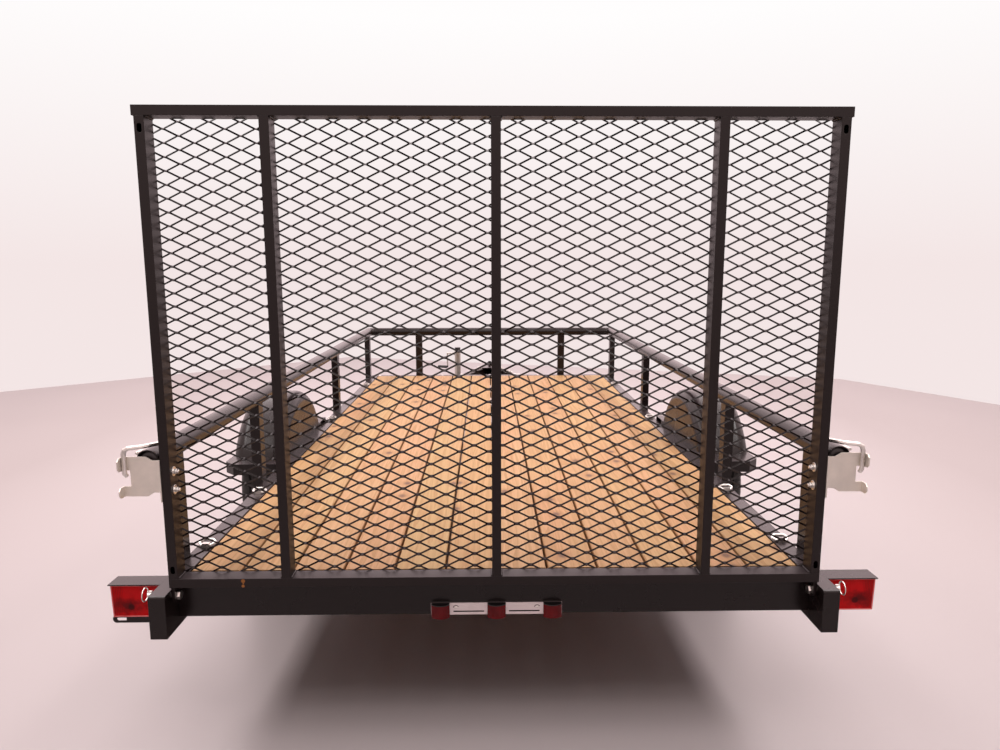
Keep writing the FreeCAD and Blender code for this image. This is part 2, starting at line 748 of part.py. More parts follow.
def rim_profile():
    w = rim_half_width
    seat = tyre_bead_radius - tyre_play
    inside = seat - rim_sheet
    return [(-w, rim_flange_radius), (-w + rim_flange, rim_flange_radius), (-w + rim_flange, seat),
            (-w + rim_seat, seat), (-w + rim_seat + 14, rim_well_radius), (10, rim_well_radius),
            (30, seat), (w - rim_flange, seat), (w - rim_flange, rim_flange_radius),
            (w, rim_flange_radius), (w, inside), (32, inside), (12, rim_well_radius - rim_sheet),
            (-w + rim_seat + 12, rim_well_radius - rim_sheet), (-w + rim_seat - 2, inside),
            (-w, inside)]


def disc_profile():
    """Wheel disc: flat round the hub, a raised ring, then a skirt welded into the well."""
    front = [(rim_disc_offset, hub_body_radius + 4), (rim_disc_offset, 82),
             (rim_disc_offset + 18, 104), (rim_disc_offset + 18, 138),
             (rim_disc_offset - 24, rim_well_radius - rim_sheet)]
    return front + [(x - rim_sheet, radius) for x, radius in reversed(front)]


def make_wheels():
    centre = Vector(tyre_x, axle_y, tyre_radius)
    tyre = turned(tyre_profile(), centre)
    wheel = fuse(turned(rim_profile(), centre), turned(disc_profile(), centre))
    for k in range(rim_vent_count):
        angle = 2 * math.pi * (k + 0.5) / rim_vent_count
        at = centre + Vector(-rim_half_width, rim_vent_circle * math.sin(angle),
                             rim_vent_circle * math.cos(angle))
        wheel = wheel.cut(rod(at, ALONG_X, rim_vent_radius, 2 * rim_half_width))
    seat_x = rim_disc_offset - rim_sheet
    length = tyre_x - hub_inner_x
    hub = turned([(-length, spindle_radius + hub_play), (-length, hub_body_radius),
                  (seat_x - hub_flange_thickness, hub_body_radius),
                  (seat_x - hub_flange_thickness, hub_flange_radius), (seat_x, hub_flange_radius),
                  (seat_x, hub_cap_radius), (hub_cap_length - hub_cap_round, hub_cap_radius),
                  (hub_cap_length, hub_cap_radius - hub_cap_round), (hub_cap_length, 0), (2, 0),
                  (2, spindle_radius + hub_play)], centre)
    nuts = []
    for k in range(stud_count):
        angle = 2 * math.pi * k / stud_count
        at = centre + Vector(rim_disc_offset, stud_circle_radius * math.sin(angle),
                             stud_circle_radius * math.cos(angle))
        nuts.append(hexagon(at, ALONG_X, nut_radius, nut_length))
    for name, shapes in (("tyre", [tyre]), ("rim", [wheel]), ("hub", [hub] + nuts)):
        add(name + "_right", *shapes)
        add(name + "_left", *[mirrored(shape) for shape in shapes])


def arch_section(inset):
    """Corner points and bends of the arch's section, drawn downwards from the wheel's axis."""
    inner_x = frame_half_width + inset
    outer_x = fender_outer_x - inset
    bend = fender_shoulder - inset
    low_x = frame_half_width + fender_shoulder
    high_x = fender_outer_x - fender_shoulder
    side = fender_radius - fender_shoulder
    top = fender_radius - inset
    slant = bend / math.sqrt(2)

    def at(x, radius):
        return Vector(x, axle_y, fender_centre_z - radius)

    foot_in = at(inner_x, side - fender_rim_lip)
    foot_out = at(outer_x, side - fender_rim_lip)
    edges = [Part.LineSegment(foot_in, at(inner_x, side)).toShape(),
             Part.Arc(at(inner_x, side), at(low_x - slant, side + slant), at(low_x, top)).toShape(),
             Part.LineSegment(at(low_x, top), at(high_x, top)).toShape(),
             Part.Arc(at(high_x, top), at(high_x + slant, side + slant), at(outer_x, side)).toShape(),
             Part.LineSegment(at(outer_x, side), foot_out).toShape()]
    return foot_in, edges, foot_out


def arch_ring(inset, bottom_inset):
    """Ring round the wheel between the arch's section and a section further in."""
    foot_in, edges, foot_out = arch_section(inset)
    other_in, other_edges, other_out = arch_section(bottom_inset)
    edges = edges + [Part.LineSegment(foot_out, other_out).toShape()] + other_edges[::-1]
    edges.append(Part.LineSegment(other_in, foot_in).toShape())
    face = Part.Face(Part.Wire(edges))
    return face.revolve(Vector(0, axle_y, fender_centre_z), ALONG_X, 360)


def arch_hollow():
    """Round space inside the arch."""
    foot_in, edges, foot_out = arch_section(fender_sheet)
    middle_in = Vector(foot_in.x, axle_y, fender_centre_z)
    middle_out = Vector(foot_out.x, axle_y, fender_centre_z)
    edges = edges + [Part.LineSegment(foot_out, middle_out).toShape(),
                     Part.LineSegment(middle_out, middle_in).toShape(),
                     Part.LineSegment(middle_in, foot_in).toShape()]
    face = Part.Face(Part.Wire(edges))
    return face.revolve(Vector(0, axle_y, fender_centre_z), ALONG_X, 360)


def arch_run(radius):
    """Half the length of the arch at the steps' height, for a circle round the same axis."""
    return math.sqrt(radius ** 2 - (fender_step_z - fender_centre_z) ** 2)


def make_fenders():
    """Arched top with rounded shoulders over the wheel, a step at each end and an inner skirt."""
    sheet = fender_sheet
    side_radius = fender_radius - fender_shoulder
    reach = 2 * fender_radius
    foot = fender_step_z - sheet
    above = box(0, reach + fender_outer_x, axle_y - reach, axle_y + reach, foot, foot + reach)
    cover = arch_ring(0, sheet).common(above)
    skirt = rod(Vector(frame_half_width, axle_y, fender_centre_z), ALONG_X, side_radius,
                sheet).common(above)
    run = arch_run(fender_radius)
    below = box(frame_half_width, frame_half_width + sheet, axle_y - run, axle_y + run,
                rail_bottom, fender_step_z)
    pieces = [cover, skirt, below]
    hollow = arch_hollow()
    for way in (-1, 1):
        pieces.append(fender_step(way).cut(hollow))
    fender = fuse(*pieces)
    add("fender_right", fender)
    add("fender_left", mirrored(fender))


def fender_step(way):
    """Flat step before or behind the arch, its outer corner cut off, with a lip folded down."""
    inner_run = arch_run(fender_radius - fender_shoulder - fender_rim_lip)
    root = axle_y + way * inner_run
    end = axle_y + way * (arch_run(fender_radius) + fender_step_length)

    def outline(inset):
        out = fender_outer_x - inset
        far = end - way * inset
        cut = fender_step_corner - inset * (2 - math.sqrt(2))
        return [(frame_half_width, root), (out, root), (out, far - way * cut),
                (out - cut, far), (frame_half_width, far)]

    low = fender_step_z - fender_lip
    body = plate([Vector(x, y, low) for x, y in outline(0)], ALONG_Z, fender_lip)
    hollow = plate([Vector(x, y, low) for x, y in outline(fender_sheet)], ALONG_Z,
                   fender_lip - fender_sheet)
    return body.cut(hollow)


def tongue_frame():
    """Unit vectors along the left tongue rail and outwards from it."""
    along = Vector(tongue_slope, 1, 0).normalize()
    outward = Vector(-along.y, along.x, 0)
    return along, outward


def make_tongue():
    along, outward = tongue_frame()
    back_y = cross_member_places()[-1]
    tip = Vector(0, tongue_tip, tongue_bottom)
    start = tip - along * ((tongue_tip - back_y) / along.y)
    beyond = tip + along * 4 * tongue_width

    def bar(reach, low, high):
        corners = [start + outward * reach, start - outward * reach, beyond - outward * reach,
                   beyond + outward * reach]
        return plate([corner + ALONG_Z * low for corner in corners], ALONG_Z, high - low)

    left = bar(tongue_width / 2, 0, tongue_height)
    left = left.cut(bar(tongue_width / 2 - tongue_wall, tongue_wall, tongue_height - tongue_wall))
    half_width = frame_half_width
    left = left.cut(box(0, half_width, back_y, beyond.y + tongue_width, 0, deck_height))
    left = left.cut(box(-half_width, half_width, tongue_nose, beyond.y + tongue_width, 0,
                        deck_height))
    add("tongue_rail_left", left)
    add("tongue_rail_right", mirrored(left))


def make_coupler():
    """Coupler on the tongue's point: plate, socket for the ball, skirts and latch lever."""
    top = rail_bottom
    back = tongue_nose - coupler_plate_length
    grip = tongue_width / 2 * math.hypot(1, tongue_slope)
    back_half = (tongue_tip - back) * tongue_slope + grip
    bore = coupler_ball_radius + coupler_play
    outer = bore + coupler_wall
    ball_z = top - coupler_depth
    low = ball_z - coupler_mouth
    crown_top = top + coupler_plate + coupler_crown
    socket = turned_up([(bore, low), (outer, low), (outer, top + coupler_plate),
                        (outer - coupler_crown, crown_top), (0, crown_top),
                        (0, ball_z + bore), (bore / 2, ball_z + bore), (bore, ball_z + bore / 2)])
    web = plate([Vector(-back_half, back, top), Vector(back_half, back, top),
                 Vector(outer, coupler_ball_y, top), Vector(-outer, coupler_ball_y, top)],
                ALONG_Z, coupler_plate)
    skirts = [box(side * outer - coupler_plate / 2 - side * coupler_plate / 2,
                  side * outer + coupler_plate / 2 - side * coupler_plate / 2,
                  tongue_nose, coupler_ball_y, top - coupler_skirt, top) for side in (-1, 1)]
    inside = rod(Vector(0, coupler_ball_y, low - 1), ALONG_Z, bore, ball_z + bore / 2 - low + 1)
    half = coupler_latch_width / 2
    sheet = coupler_latch_sheet
    plate_top = top + coupler_plate
    lever_back = coupler_ball_y - outer - coupler_latch_length
    lever_outline = [(coupler_ball_y, crown_top), (coupler_ball_y - outer, crown_top),
                     (lever_back, crown_top + 2 * coupler_crown),
                     (lever_back, crown_top + 2 * coupler_crown + sheet),
                     (coupler_ball_y - outer, crown_top + sheet),
                     (coupler_ball_y, crown_top + sheet)]
    lever = plate([Vector(-half, y, z) for y, z in lever_outline], ALONG_X, 2 * half)
    hinge = box(-half, half, coupler_ball_y - outer - 2 * coupler_crown,
                coupler_ball_y - outer + coupler_crown, plate_top, crown_top + sheet / 2)
    add("coupler", fuse(socket, web, hinge, lever, *skirts).cut(inside))


def turned_up(profile):
    """Solid of revolution about the coupler's upright axis from (radius, z) points."""
    points = [Vector(radius, coupler_ball_y, z) for radius, z in profile]
    face = Part.Face(Part.makePolygon(points + points[:1]))
    return face.revolve(Vector(0, coupler_ball_y, 0), ALONG_Z, 360)


def chain_link(centre, along, turn):
    """Link lying along a direction and turned about it, in degrees."""
    reach = chain_pitch / 2 + chain_wire
    half = chain_inner_width / 2 + chain_wire
    cut = half * 0.55
    level = along.cross(ALONG_Z)
    across = level * math.cos(math.radians(turn)) + ALONG_Z * math.sin(math.radians(turn))
    outline = [(reach - cut, half), (reach, half - cut), (reach, cut - half), (reach - cut, -half),
               (cut - reach, -half), (-reach, cut - half), (-reach, half - cut), (cut - reach, half)]
    points = [centre + along * run + across * side for run, side in outline]
    return bent_rod(points, chain_wire, 4, True)


def make_chains():
    """Safety chains laid back along the tongue rails from their anchor loops."""
    along, outward = tongue_frame()
    half = chain_inner_width / 2 + chain_wire
    height = half / math.sqrt(2) + chain_wire + chain_gap
    spacing = chain_pitch - chain_gap
    first = Vector(0, tongue_tip, rail_bottom + height) - along * chain_behind_tip
    chain = [chain_link(first - along * spacing * k, along, 45 if k % 2 else -45)
             for k in range(chain_link_count)]
    anchor_at = first + along * (chain_pitch / 2 - chain_wire - chain_gap)
    loop = [anchor_at + outward * side * 2 * half + ALONG_Z * rise
            for side, rise in ((1, -height), (1, 0), (0.6, half), (-0.6, half), (-1, 0), (-1, -height))]
    chain.append(bent_rod(loop, chain_wire + 1))
    last = first - along * (spacing * chain_link_count - 2 * chain_wire)
    hook = [last, last - along * 34, last - along * 58 + outward * 9, last - along * 66 + outward * 24,
            last - along * 56 + outward * 38, last - along * 34 + outward * 40]
    chain.append(bent_rod([point - ALONG_Z * (height - chain_wire - 2 - chain_gap) for point in hook],
                          chain_wire + 2))
    for piece in chain:
        both_sides("safety_chains", piece)


def jack_centre():
    along, outward = tongue_frame()
    foot = Vector(-(tongue_tip - jack_y) * tongue_slope, jack_y, 0)
    return foot + outward * jack_offset


def make_jack():
    along, outward = tongue_frame()
    axis = jack_centre()
    tube_top = deck_height + jack_top_above_deck
    pivot = axis + ALONG_Z * (rail_bottom - tongue_height / 2)
    face = pivot - outward * (jack_offset - tongue_width / 2)
    stub_length = (pivot - face).Length - jack_collar_length - jack_collar_gap
    half = jack_mount_half
    mount = plate([face + along * run + ALONG_Z * rise
                   for run, rise in ((-half, -half), (half, -half), (half, half), (-half, half))],
                  outward, jack_mount_plate)
    add("jack_bracket", fuse(mount, rod(face, outward, jack_pivot_radius, stub_length)))

    collar = rod(pivot - outward * jack_collar_length, outward, jack_pivot_radius,
                 jack_collar_length)
    outer = rod(axis + ALONG_Z * jack_tube_clearance, ALONG_Z, jack_tube_radius,
                tube_top - jack_tube_clearance)
    inside = rod(axis + ALONG_Z * (jack_tube_clearance - 1), ALONG_Z,
                 jack_tube_radius - jack_tube_wall, tube_top - jack_tube_clearance - jack_tube_wall)
    cap = rod(axis + ALONG_Z * tube_top, ALONG_Z, jack_cap_radius, jack_cap_height)
    add("jack_tube", fuse(outer, collar, cap).cut(inside))

    shaft = axis + ALONG_Z * (tube_top - jack_crank_drop) + outward * jack_tube_radius
    bend = shaft + outward * jack_crank_shaft
    low = bend - ALONG_Z * jack_crank_arm
    crank = bent_rod([shaft, bend, low, low + outward * (jack_grip_length + jack_crank_rod)],
                     jack_crank_rod)
    grip = rod(low + outward * jack_crank_rod, outward, jack_grip_radius, jack_grip_length)
    boss = rod(shaft, outward, 2 * jack_crank_rod, 2 * jack_crank_rod)
    saddle = rod(axis + ALONG_Z * (shaft.z - 50), ALONG_Z, jack_tube_radius, 100)
    add("jack_crank", fuse(crank, grip, boss).cut(saddle))

    leg_radius = jack_tube_radius - jack_tube_wall - jack_leg_play
    leg = rod(axis + ALONG_Z * jack_foot_thickness, ALONG_Z, leg_radius,
              jack_tube_clearance + jack_leg_overlap - jack_foot_thickness)
    half = jack_foot_half
    cut = half - jack_foot_corner
    corners = ((-half, -cut), (-cut, -half), (cut, -half), (half, -cut), (half, cut), (cut, half),
               (-cut, half), (-half, cut))
    foot = plate([axis + along * run + outward * side for run, side in corners], ALONG_Z,
                 jack_foot_thickness)
    add("jack_leg", fuse(leg, foot))


def drafted_box(x0, x1, y0, y1, z0, z1, draft):
    """Box whose outer side leans in towards its lower end."""
    return plate([Vector(x0, y0, z0), Vector(x1 - draft, y0, z0), Vector(x1, y0, z1),
                  Vector(x0, y0, z1)], ALONG_Y, y1 - y0)


def make_lamps():
    """Tail lamps under their shields, with bulbs behind a hollow lens."""
    top = board_bottom - shield_sheet
    low = top - lamp_height
    shield = box(block_outer_x, shield_outer_x, shield_back, shield_front, top, board_bottom)
    back = box(block_outer_x, shield_outer_x - lamp_inset, shield_front - shield_sheet,
               shield_front, low, top)
    x0 = block_outer_x + lamp_inset
    x1 = shield_outer_x - lamp_inset
    y0 = shield_back + lamp_inset
    y1 = shield_front - shield_sheet
    lens = drafted_box(x0, x1, y0, y1, low, top, lamp_draft)
    hollow = drafted_box(x0 + lamp_wall, x1 - lamp_wall, y0 + lamp_wall, y1, low + lamp_wall,
                         top - lamp_wall, lamp_draft)
    bulb = rod(Vector((x0 + x1) / 2, y1 - lamp_bulb_length, low + lamp_height * 0.42), ALONG_Y,
               lamp_bulb_radius, lamp_bulb_length)
    bracket = fuse(shield, back, bulb)
    both_sides("tail_lamps", lens.cut(hollow))
    add("lamp_brackets", bracket, fuse(mirrored(bracket), plate_arm()))


def plate_arm():
    """Slotted strip under the left lamp that holds one end of the number plate."""
    low = board_bottom - plate_arm_drop
    high = low + plate_arm_height
    outer = -block_outer_x - plate_arm_reach
    half = plate_arm_height / 2
    y = shield_front - shield_sheet
    strip = box(outer + half, -block_outer_x, y, y + shield_sheet, low, high)
    end = rod(Vector(outer + half, y, low + half), ALONG_Y, half, shield_sheet)
    slot = box(outer + half, outer + half + plate_arm_slot, y, y + shield_sheet,
               low + half - plate_arm_slot_width / 2, low + half + plate_arm_slot_width / 2)
    stem = box(-block_outer_x - 2 * half, -block_outer_x, y, y + shield_sheet, high,
               board_bottom - shield_sheet)
    return fuse(strip, end, stem).cut(slot)


def d_prism(x, back, depth, low, height):
    """Upright prism, straight at its back and bulging away from the beam."""
    half = id_lamp_half
    side_y = back - id_lamp_side
    left = Vector(x - half, side_y, low)
    right = Vector(x + half, side_y, low)
    edges = [Part.Arc(left, Vector(x, back - depth, low), right).toShape(),
             Part.LineSegment(right, Vector(x + half, back, low)).toShape(),
             Part.LineSegment(Vector(x + half, back, low), Vector(x - half, back, low)).toShape(),
             Part.LineSegment(Vector(x - half, back, low), left).toShape()]
    return Part.Face(Part.Wire(edges)).extrude(ALONG_Z * height)


def make_id_lights():
    top = board_bottom - id_bar_drop
    low = top - id_bar_height
    back = beam_back - id_bar_sheet
    bar = box(-id_bar_half_length, id_bar_half_length, back, beam_back, low, top)
    hoods = []
    for x in (-id_lamp_spacing, 0, id_lamp_spacing):
        lens_low = low - id_lamp_overhang
        add("id_lamps", d_prism(x, back, id_lamp_depth, lens_low, top - id_lamp_hood - lens_low))
        hoods.append(d_prism(x, back, id_lamp_depth + 1, top - id_lamp_hood, id_lamp_hood))
    add("id_light_bar", fuse(bar, *hoods))


def export():
    """Move the origin to the middle of the footprint and write each node."""
    bounds = Part.makeCompound([s for shapes in nodes.values() for s in shapes]).BoundBox
    shift = Vector(0, -(bounds.YMin + bounds.YMax) / 2, 0)
    os.makedirs("parts", exist_ok=True)
    for name, shapes in nodes.items():
        node = shapes[0] if len(shapes) == 1 else Part.makeCompound(shapes)
        node.translate(shift)
        node.exportStep("parts/" + name + ".step")
    print("overall", bounds.XLength, bounds.YLength, bounds.ZLength, "shift", shift.y)


make_frame()
make_deck()
make_top_rails()
make_posts()
make_tie_loops()
make_hinges()
make_gate()
make_mesh()
make_latches()
make_axle()
make_springs()
make_spring_clamps()
make_wheels()
make_fenders()
make_tongue()
make_coupler()
make_chains()
make_jack()
make_lamps()
make_id_lights()
export()
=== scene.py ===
import json
import math

import bmesh
import bpy
from mathutils import Euler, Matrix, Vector


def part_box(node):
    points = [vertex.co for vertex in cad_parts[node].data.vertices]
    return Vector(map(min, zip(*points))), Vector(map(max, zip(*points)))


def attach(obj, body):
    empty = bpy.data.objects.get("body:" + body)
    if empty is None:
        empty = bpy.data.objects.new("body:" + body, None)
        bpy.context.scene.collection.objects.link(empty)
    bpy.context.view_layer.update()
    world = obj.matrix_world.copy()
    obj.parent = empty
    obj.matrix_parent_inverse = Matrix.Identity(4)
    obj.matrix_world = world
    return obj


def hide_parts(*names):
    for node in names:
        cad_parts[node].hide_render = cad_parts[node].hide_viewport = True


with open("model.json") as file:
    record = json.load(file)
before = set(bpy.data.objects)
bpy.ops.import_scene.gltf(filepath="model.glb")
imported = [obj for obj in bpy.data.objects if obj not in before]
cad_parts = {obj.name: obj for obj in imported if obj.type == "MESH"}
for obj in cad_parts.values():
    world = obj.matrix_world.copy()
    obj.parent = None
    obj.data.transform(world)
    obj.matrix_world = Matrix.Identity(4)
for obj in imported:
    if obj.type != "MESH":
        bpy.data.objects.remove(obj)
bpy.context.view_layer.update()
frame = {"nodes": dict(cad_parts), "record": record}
nodes = frame["nodes"]

# Places that the pieces are measured from, in metres
deck_low, deck_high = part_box("deck_boards")
deck_top = deck_high.z
gate_low, gate_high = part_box("gate_bottom_bar")
gate_rear = gate_low.y
half_gate = gate_high.x
gate_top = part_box("gate_top_bar")[1].z
rail_low, rail_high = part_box("side_rails")
beam_low, beam_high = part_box("rear_beam")
front_low, front_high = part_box("front_beam")
axle_low, axle_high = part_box("axle")
lamp_low, lamp_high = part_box("tail_lamps")
lamp_bar_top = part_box("id_light_bar")[1].z
pipe_low, pipe_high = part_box("top_rail_right")
pipe_radius = (pipe_high.z - pipe_low.z) / 2
rail_corner = (pipe_high.x - pipe_radius, pipe_high.y - pipe_radius, pipe_high.z - pipe_radius / 2)
marker_foot = beam_low.y - 0.0046
jack_cap_foot = deck_top + 0.1295
crank_grip_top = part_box("jack_crank")[0].z + 0.0245

# Sizes that several pieces share
gate_tube = 0.0254           # width of the gate's tubes, seen from behind
weld_offset = 0.0008         # from a weld's middle line to the faces that it joins
rib_pitch = 0.0048           # of the ribs in a tail lamp

# Rust chips on the gate's bottom bar: x and z of each, and its radius
rust_chips = ((-0.709, 0.5040, 0.0045), (-0.7095, 0.4890, 0.0035), (-0.7085, 0.4965, 0.0016))


def add_camera():
    """The photo's camera, behind the gate's mesh and looking a little down."""
    place = (-0.0252, gate_rear - 1.8995, deck_top + 0.8722)
    # Angles in degrees, lens and sensor in millimetres
    look_down = 8.868
    roll = 0.065
    turn_right = 1.063
    data = bpy.data.cameras.new("camera")
    data.lens = 25.764
    data.sensor_width = 36.0
    camera = bpy.data.objects.new("camera", data)
    camera.location = place
    camera.rotation_euler = Euler([math.radians(angle) for angle in (90 - look_down, roll, -turn_right)])
    bpy.context.collection.objects.link(camera)
    bpy.context.scene.camera = camera
    bpy.context.scene.view_settings.view_transform = "Standard"


class Nodes:
    """Short way to write a node tree."""

    def __init__(self, tree):
        self.tree = tree

    def add(self, kind, sockets=(), **settings):
        """Adds a node; its sockets go by name or number, each with a value or a link."""
        node = self.tree.nodes.new(kind)
        for key, value in settings.items():
            setattr(node, key, value)
        for key, value in dict(sockets).items():
            self.put(node, key, value)
        return node

    def put(self, node, key, value):
        socket = node.inputs[key]
        if isinstance(value, bpy.types.NodeSocket):
            self.tree.links.new(value, socket)
        else:
            socket.default_value = value

    def math(self, operation, *values):
        return self.add("ShaderNodeMath", enumerate(values), operation=operation).outputs[0]

    def times(self, first, second):
        return self.math("MULTIPLY", first, second)

    def vector_math(self, operation, first, second=(0, 0, 0)):
        node = self.add("ShaderNodeVectorMath", enumerate((first, second)), operation=operation)
        return node.outputs["Value" if operation == "DISTANCE" else "Vector"]

    def split(self, vector):
        return self.add("ShaderNodeSeparateXYZ", {"Vector": vector}).outputs

    def combine(self, x=0.0, y=0.0, z=0.0):
        return self.add("ShaderNodeCombineXYZ", enumerate((x, y, z))).outputs[0]

    def range(self, value, low, high, to_low=0.0, to_high=1.0):
        sockets = {"Value": value, "From Min": low, "From Max": high, "To Min": to_low, "To Max": to_high}
        return self.add("ShaderNodeMapRange", sockets).outputs["Result"]

    def ramp(self, value, *stops):
        """Colour by value; each stop is a place from 0 to 1 and a colour."""
        node = self.add("ShaderNodeValToRGB", {"Fac": value})
        elements = node.color_ramp.elements
        while len(elements) < len(stops):
            elements.new(0.5)
        for element, (at, colour) in zip(elements, stops):
            element.position = at
            element.color = (*colour, 1)
        return node.outputs["Color"]

    def mix(self, share, first, second):
        """Mixes two colours; each is a link, or red, green and blue."""
        sockets = {0: share}
        for socket, colour in ((6, first), (7, second)):
            sockets[socket] = colour if isinstance(colour, bpy.types.NodeSocket) else (*colour, 1)
        return self.add("ShaderNodeMix", sockets, data_type="RGBA").outputs[2]

    def layers(self, base, *covers):
        """Lays colours over the base in turn; each cover is its share and its colour."""
        for share, colour in covers:
            base = self.mix(share, base, colour)
        return base


class Look(Nodes):
    """A material, written through its shader and its place on the object."""

    def __init__(self, name):
        self.material = bpy.data.materials.new(name)
        self.material.use_nodes = True
        super().__init__(self.material.node_tree)
        self.shader = self.tree.nodes["Principled BSDF"]
        self.place = self.add("ShaderNodeTexCoord").outputs["Object"]

    def set(self, **values):
        for key, value in values.items():
            self.put(self.shader, key.replace("_", " "), value)
        return self

    def colour_so_far(self):
        return self.shader.inputs["Base Color"].links[0].from_socket

    def scaled(self, scale, place=None):
        return self.vector_math("MULTIPLY", place or self.place, scale)

    def noise(self, scale, detail=4.0, roughness=0.55, place=None):
        sockets = {"Vector": place or self.place, "Scale": scale, "Detail": detail, "Roughness": roughness}
        return self.add("ShaderNodeTexNoise", sockets).outputs["Fac"]

    def bump(self, height, strength, distance, normal=None):
        sockets = {"Height": height, "Strength": strength, "Distance": distance}
        if normal:
            sockets["Normal"] = normal
        return self.add("ShaderNodeBump", sockets).outputs["Normal"]

    def soft_edges(self, radius):
        return self.add("ShaderNodeBevel", {"Radius": radius}, samples=4).outputs["Normal"]

    def facing_up(self):
        return self.split(self.add("ShaderNodeNewGeometry").outputs["Normal"])["Z"]


def black_paint(name, edge_radius=0.0018, gloss=0.3, rough=0.20):
    """Satin powder coat with a fine orange peel: a painted pinkish sheen in clouds on top faces,
    a few rust chips, and bare weld spatter round the front corners of the top rails."""
    black = (0.0098, 0.0048, 0.0046)
    # Pinkish grey of the painted sheen on top faces
    sheen_pink = (0.060, 0.041, 0.044)
    bare_metal = (0.26, 0.24, 0.24)
    rusty = (0.42, 0.15, 0.03)
    n = Look(name)
    peel = n.noise(700.0, 2.0)
    cloud = n.noise(7.0, 5.0)
    # Painted sheen: faces that look up pale to pinkish grey, in clouds
    painted_top_sheen = n.times(n.range(n.facing_up(), 0.6, 1.0), n.range(cloud, 0.3, 0.7, 0.3, 0.9))

    parts = n.split(n.place)
    same_on_both_sides = n.combine(n.math("ABSOLUTE", parts["X"]), parts["Y"], parts["Z"])
    from_corner = n.vector_math("DISTANCE", same_on_both_sides, rail_corner)
    spatter = n.times(n.range(from_corner, 0.030, 0.065, 1.0, 0.0),
                      n.range(n.noise(140.0, 3.0, 0.7), 0.53, 0.60))

    specks = n.range(n.noise(150.0, 3.0, 0.7), 0.735, 0.76)
    rust = n.times(specks, n.range(n.noise(5.0, 2.0), 0.55, 0.62))
    flat = n.scaled((1.0, 0.0, 1.0))
    for x, z, radius in rust_chips:
        from_chip = n.vector_math("DISTANCE", flat, (x, 0.0, z))
        rust = n.math("MAXIMUM", rust, n.range(from_chip, radius, radius * 1.4, 1.0, 0.0))

    normal = n.soft_edges(edge_radius) if edge_radius else None
    return n.set(Base_Color=n.layers(black, (painted_top_sheen, sheen_pink), (spatter, bare_metal), (rust, rusty)),
                 Roughness=n.range(cloud, 0.2, 0.8, rough, rough + 0.12),
                 Specular_IOR_Level=gloss, Normal=n.bump(peel, 0.10, 0.0004, normal))


def pine():
    """Fresh boards along Y: each has its own tint, fine grain, some knots and pink heartwood; painted shade
    darkens the boards' eased edges and their undersides.
    """
    board_count = 12
    half_gap = 0.0036            # half of the gap between two boards
    tints = ((0.0, (0.72, 0.45, 0.20)), (0.3, (0.80, 0.49, 0.23)), (0.55, (0.75, 0.44, 0.20)),
             (0.75, (0.78, 0.42, 0.22)), (1.0, (0.80, 0.48, 0.24)))
    heartwood = (0.76, 0.34, 0.18)
    late_wood = (0.52, 0.24, 0.075)
    streaked = (0.54, 0.27, 0.10)
    round_knot = (0.44, 0.19, 0.07)
    in_knot = (0.15, 0.065, 0.035)
    fibrous = (0.42, 0.20, 0.07)
    # Painted shade on the eased edges of the boards, beside the gaps
    painted_edge_shade = (0.20, 0.085, 0.025)
    # Painted shade on the boards' undersides
    painted_underside_shade = (0.12, 0.065, 0.04)

    n = Look("pine")
    pitch = (deck_high.x - deck_low.x + 2 * half_gap) / board_count
    across_deck = n.math("SUBTRACT", n.split(n.place)["X"], deck_low.x - half_gap)
    in_boards = n.math("DIVIDE", across_deck, pitch)
    board = n.math("FLOOR", in_boards)
    pick = n.add("ShaderNodeTexWhiteNoise", {"W": board}, noise_dimensions="1D").outputs["Value"]
    shift = n.combine(n.times(board, 3.7), n.times(pick, 9.0), n.times(board, 1.9))
    place = n.vector_math("ADD", n.place, shift)

    wander = n.noise(1.0, 3.0, 0.5, n.scaled((7.0, 0.8, 7.0), place))
    warp = n.combine(n.times(n.math("SUBTRACT", wander, 0.5), 0.12))
    bent = n.vector_math("ADD", place, warp)
    rings = n.noise(1.0, 2.0, 0.4, n.scaled((17.0, 0.5, 17.0), bent))
    late = n.range(n.math("FRACT", n.times(rings, 9.0)), 0.45, 0.95)
    fibre = n.noise(1.0, 5.0, 0.65, n.scaled((700.0, 9.0, 700.0), place))
    streak = n.noise(1.0, 3.0, 0.6, n.scaled((110.0, 1.6, 110.0), place))
    heart = n.noise(1.0, 2.0, 0.5, n.scaled((5.0, 0.7, 5.0), place))

    cell = n.add("ShaderNodeTexVoronoi", {"Vector": n.scaled((6.2, 4.4, 0.0), place), "Scale": 1.0},
                 voronoi_dimensions="2D").outputs
    chosen = n.range(n.split(cell["Color"])["X"], 0.62, 0.66)
    knot = n.times(n.range(cell["Distance"], 0.040, 0.105, 1.0, 0.0), chosen)
    halo = n.times(n.range(cell["Distance"], 0.08, 0.24, 1.0, 0.0), chosen)
    from_middle = n.math("ABSOLUTE", n.math("SUBTRACT", n.math("FRACT", in_boards), 0.5))

    colour = n.layers(n.ramp(pick, *tints),
                      (n.range(heart, 0.54, 0.78, 0.0, 0.6), heartwood),
                      (n.times(late, 0.55), late_wood),
                      (n.range(streak, 0.42, 0.72, 0.0, 0.5), streaked),
                      (n.times(halo, 0.55), round_knot),
                      (n.times(knot, 0.9), in_knot),
                      (n.range(fibre, 0.38, 0.7, 0.0, 0.25), fibrous),
                      # Painted shade along each board's eased edges
                      (n.range(from_middle, 0.466, 0.482, 0.0, 0.75), painted_edge_shade),
                      # Painted shade on faces that look down
                      (n.range(n.facing_up(), -0.9, -0.5, 0.85, 0.0), painted_underside_shade))
    return n.set(Base_Color=colour, Roughness=n.range(fibre, 0.2, 0.8, 0.50, 0.66),
                 Normal=n.bump(fibre, 0.25, 0.0006, n.soft_edges(0.0015)))


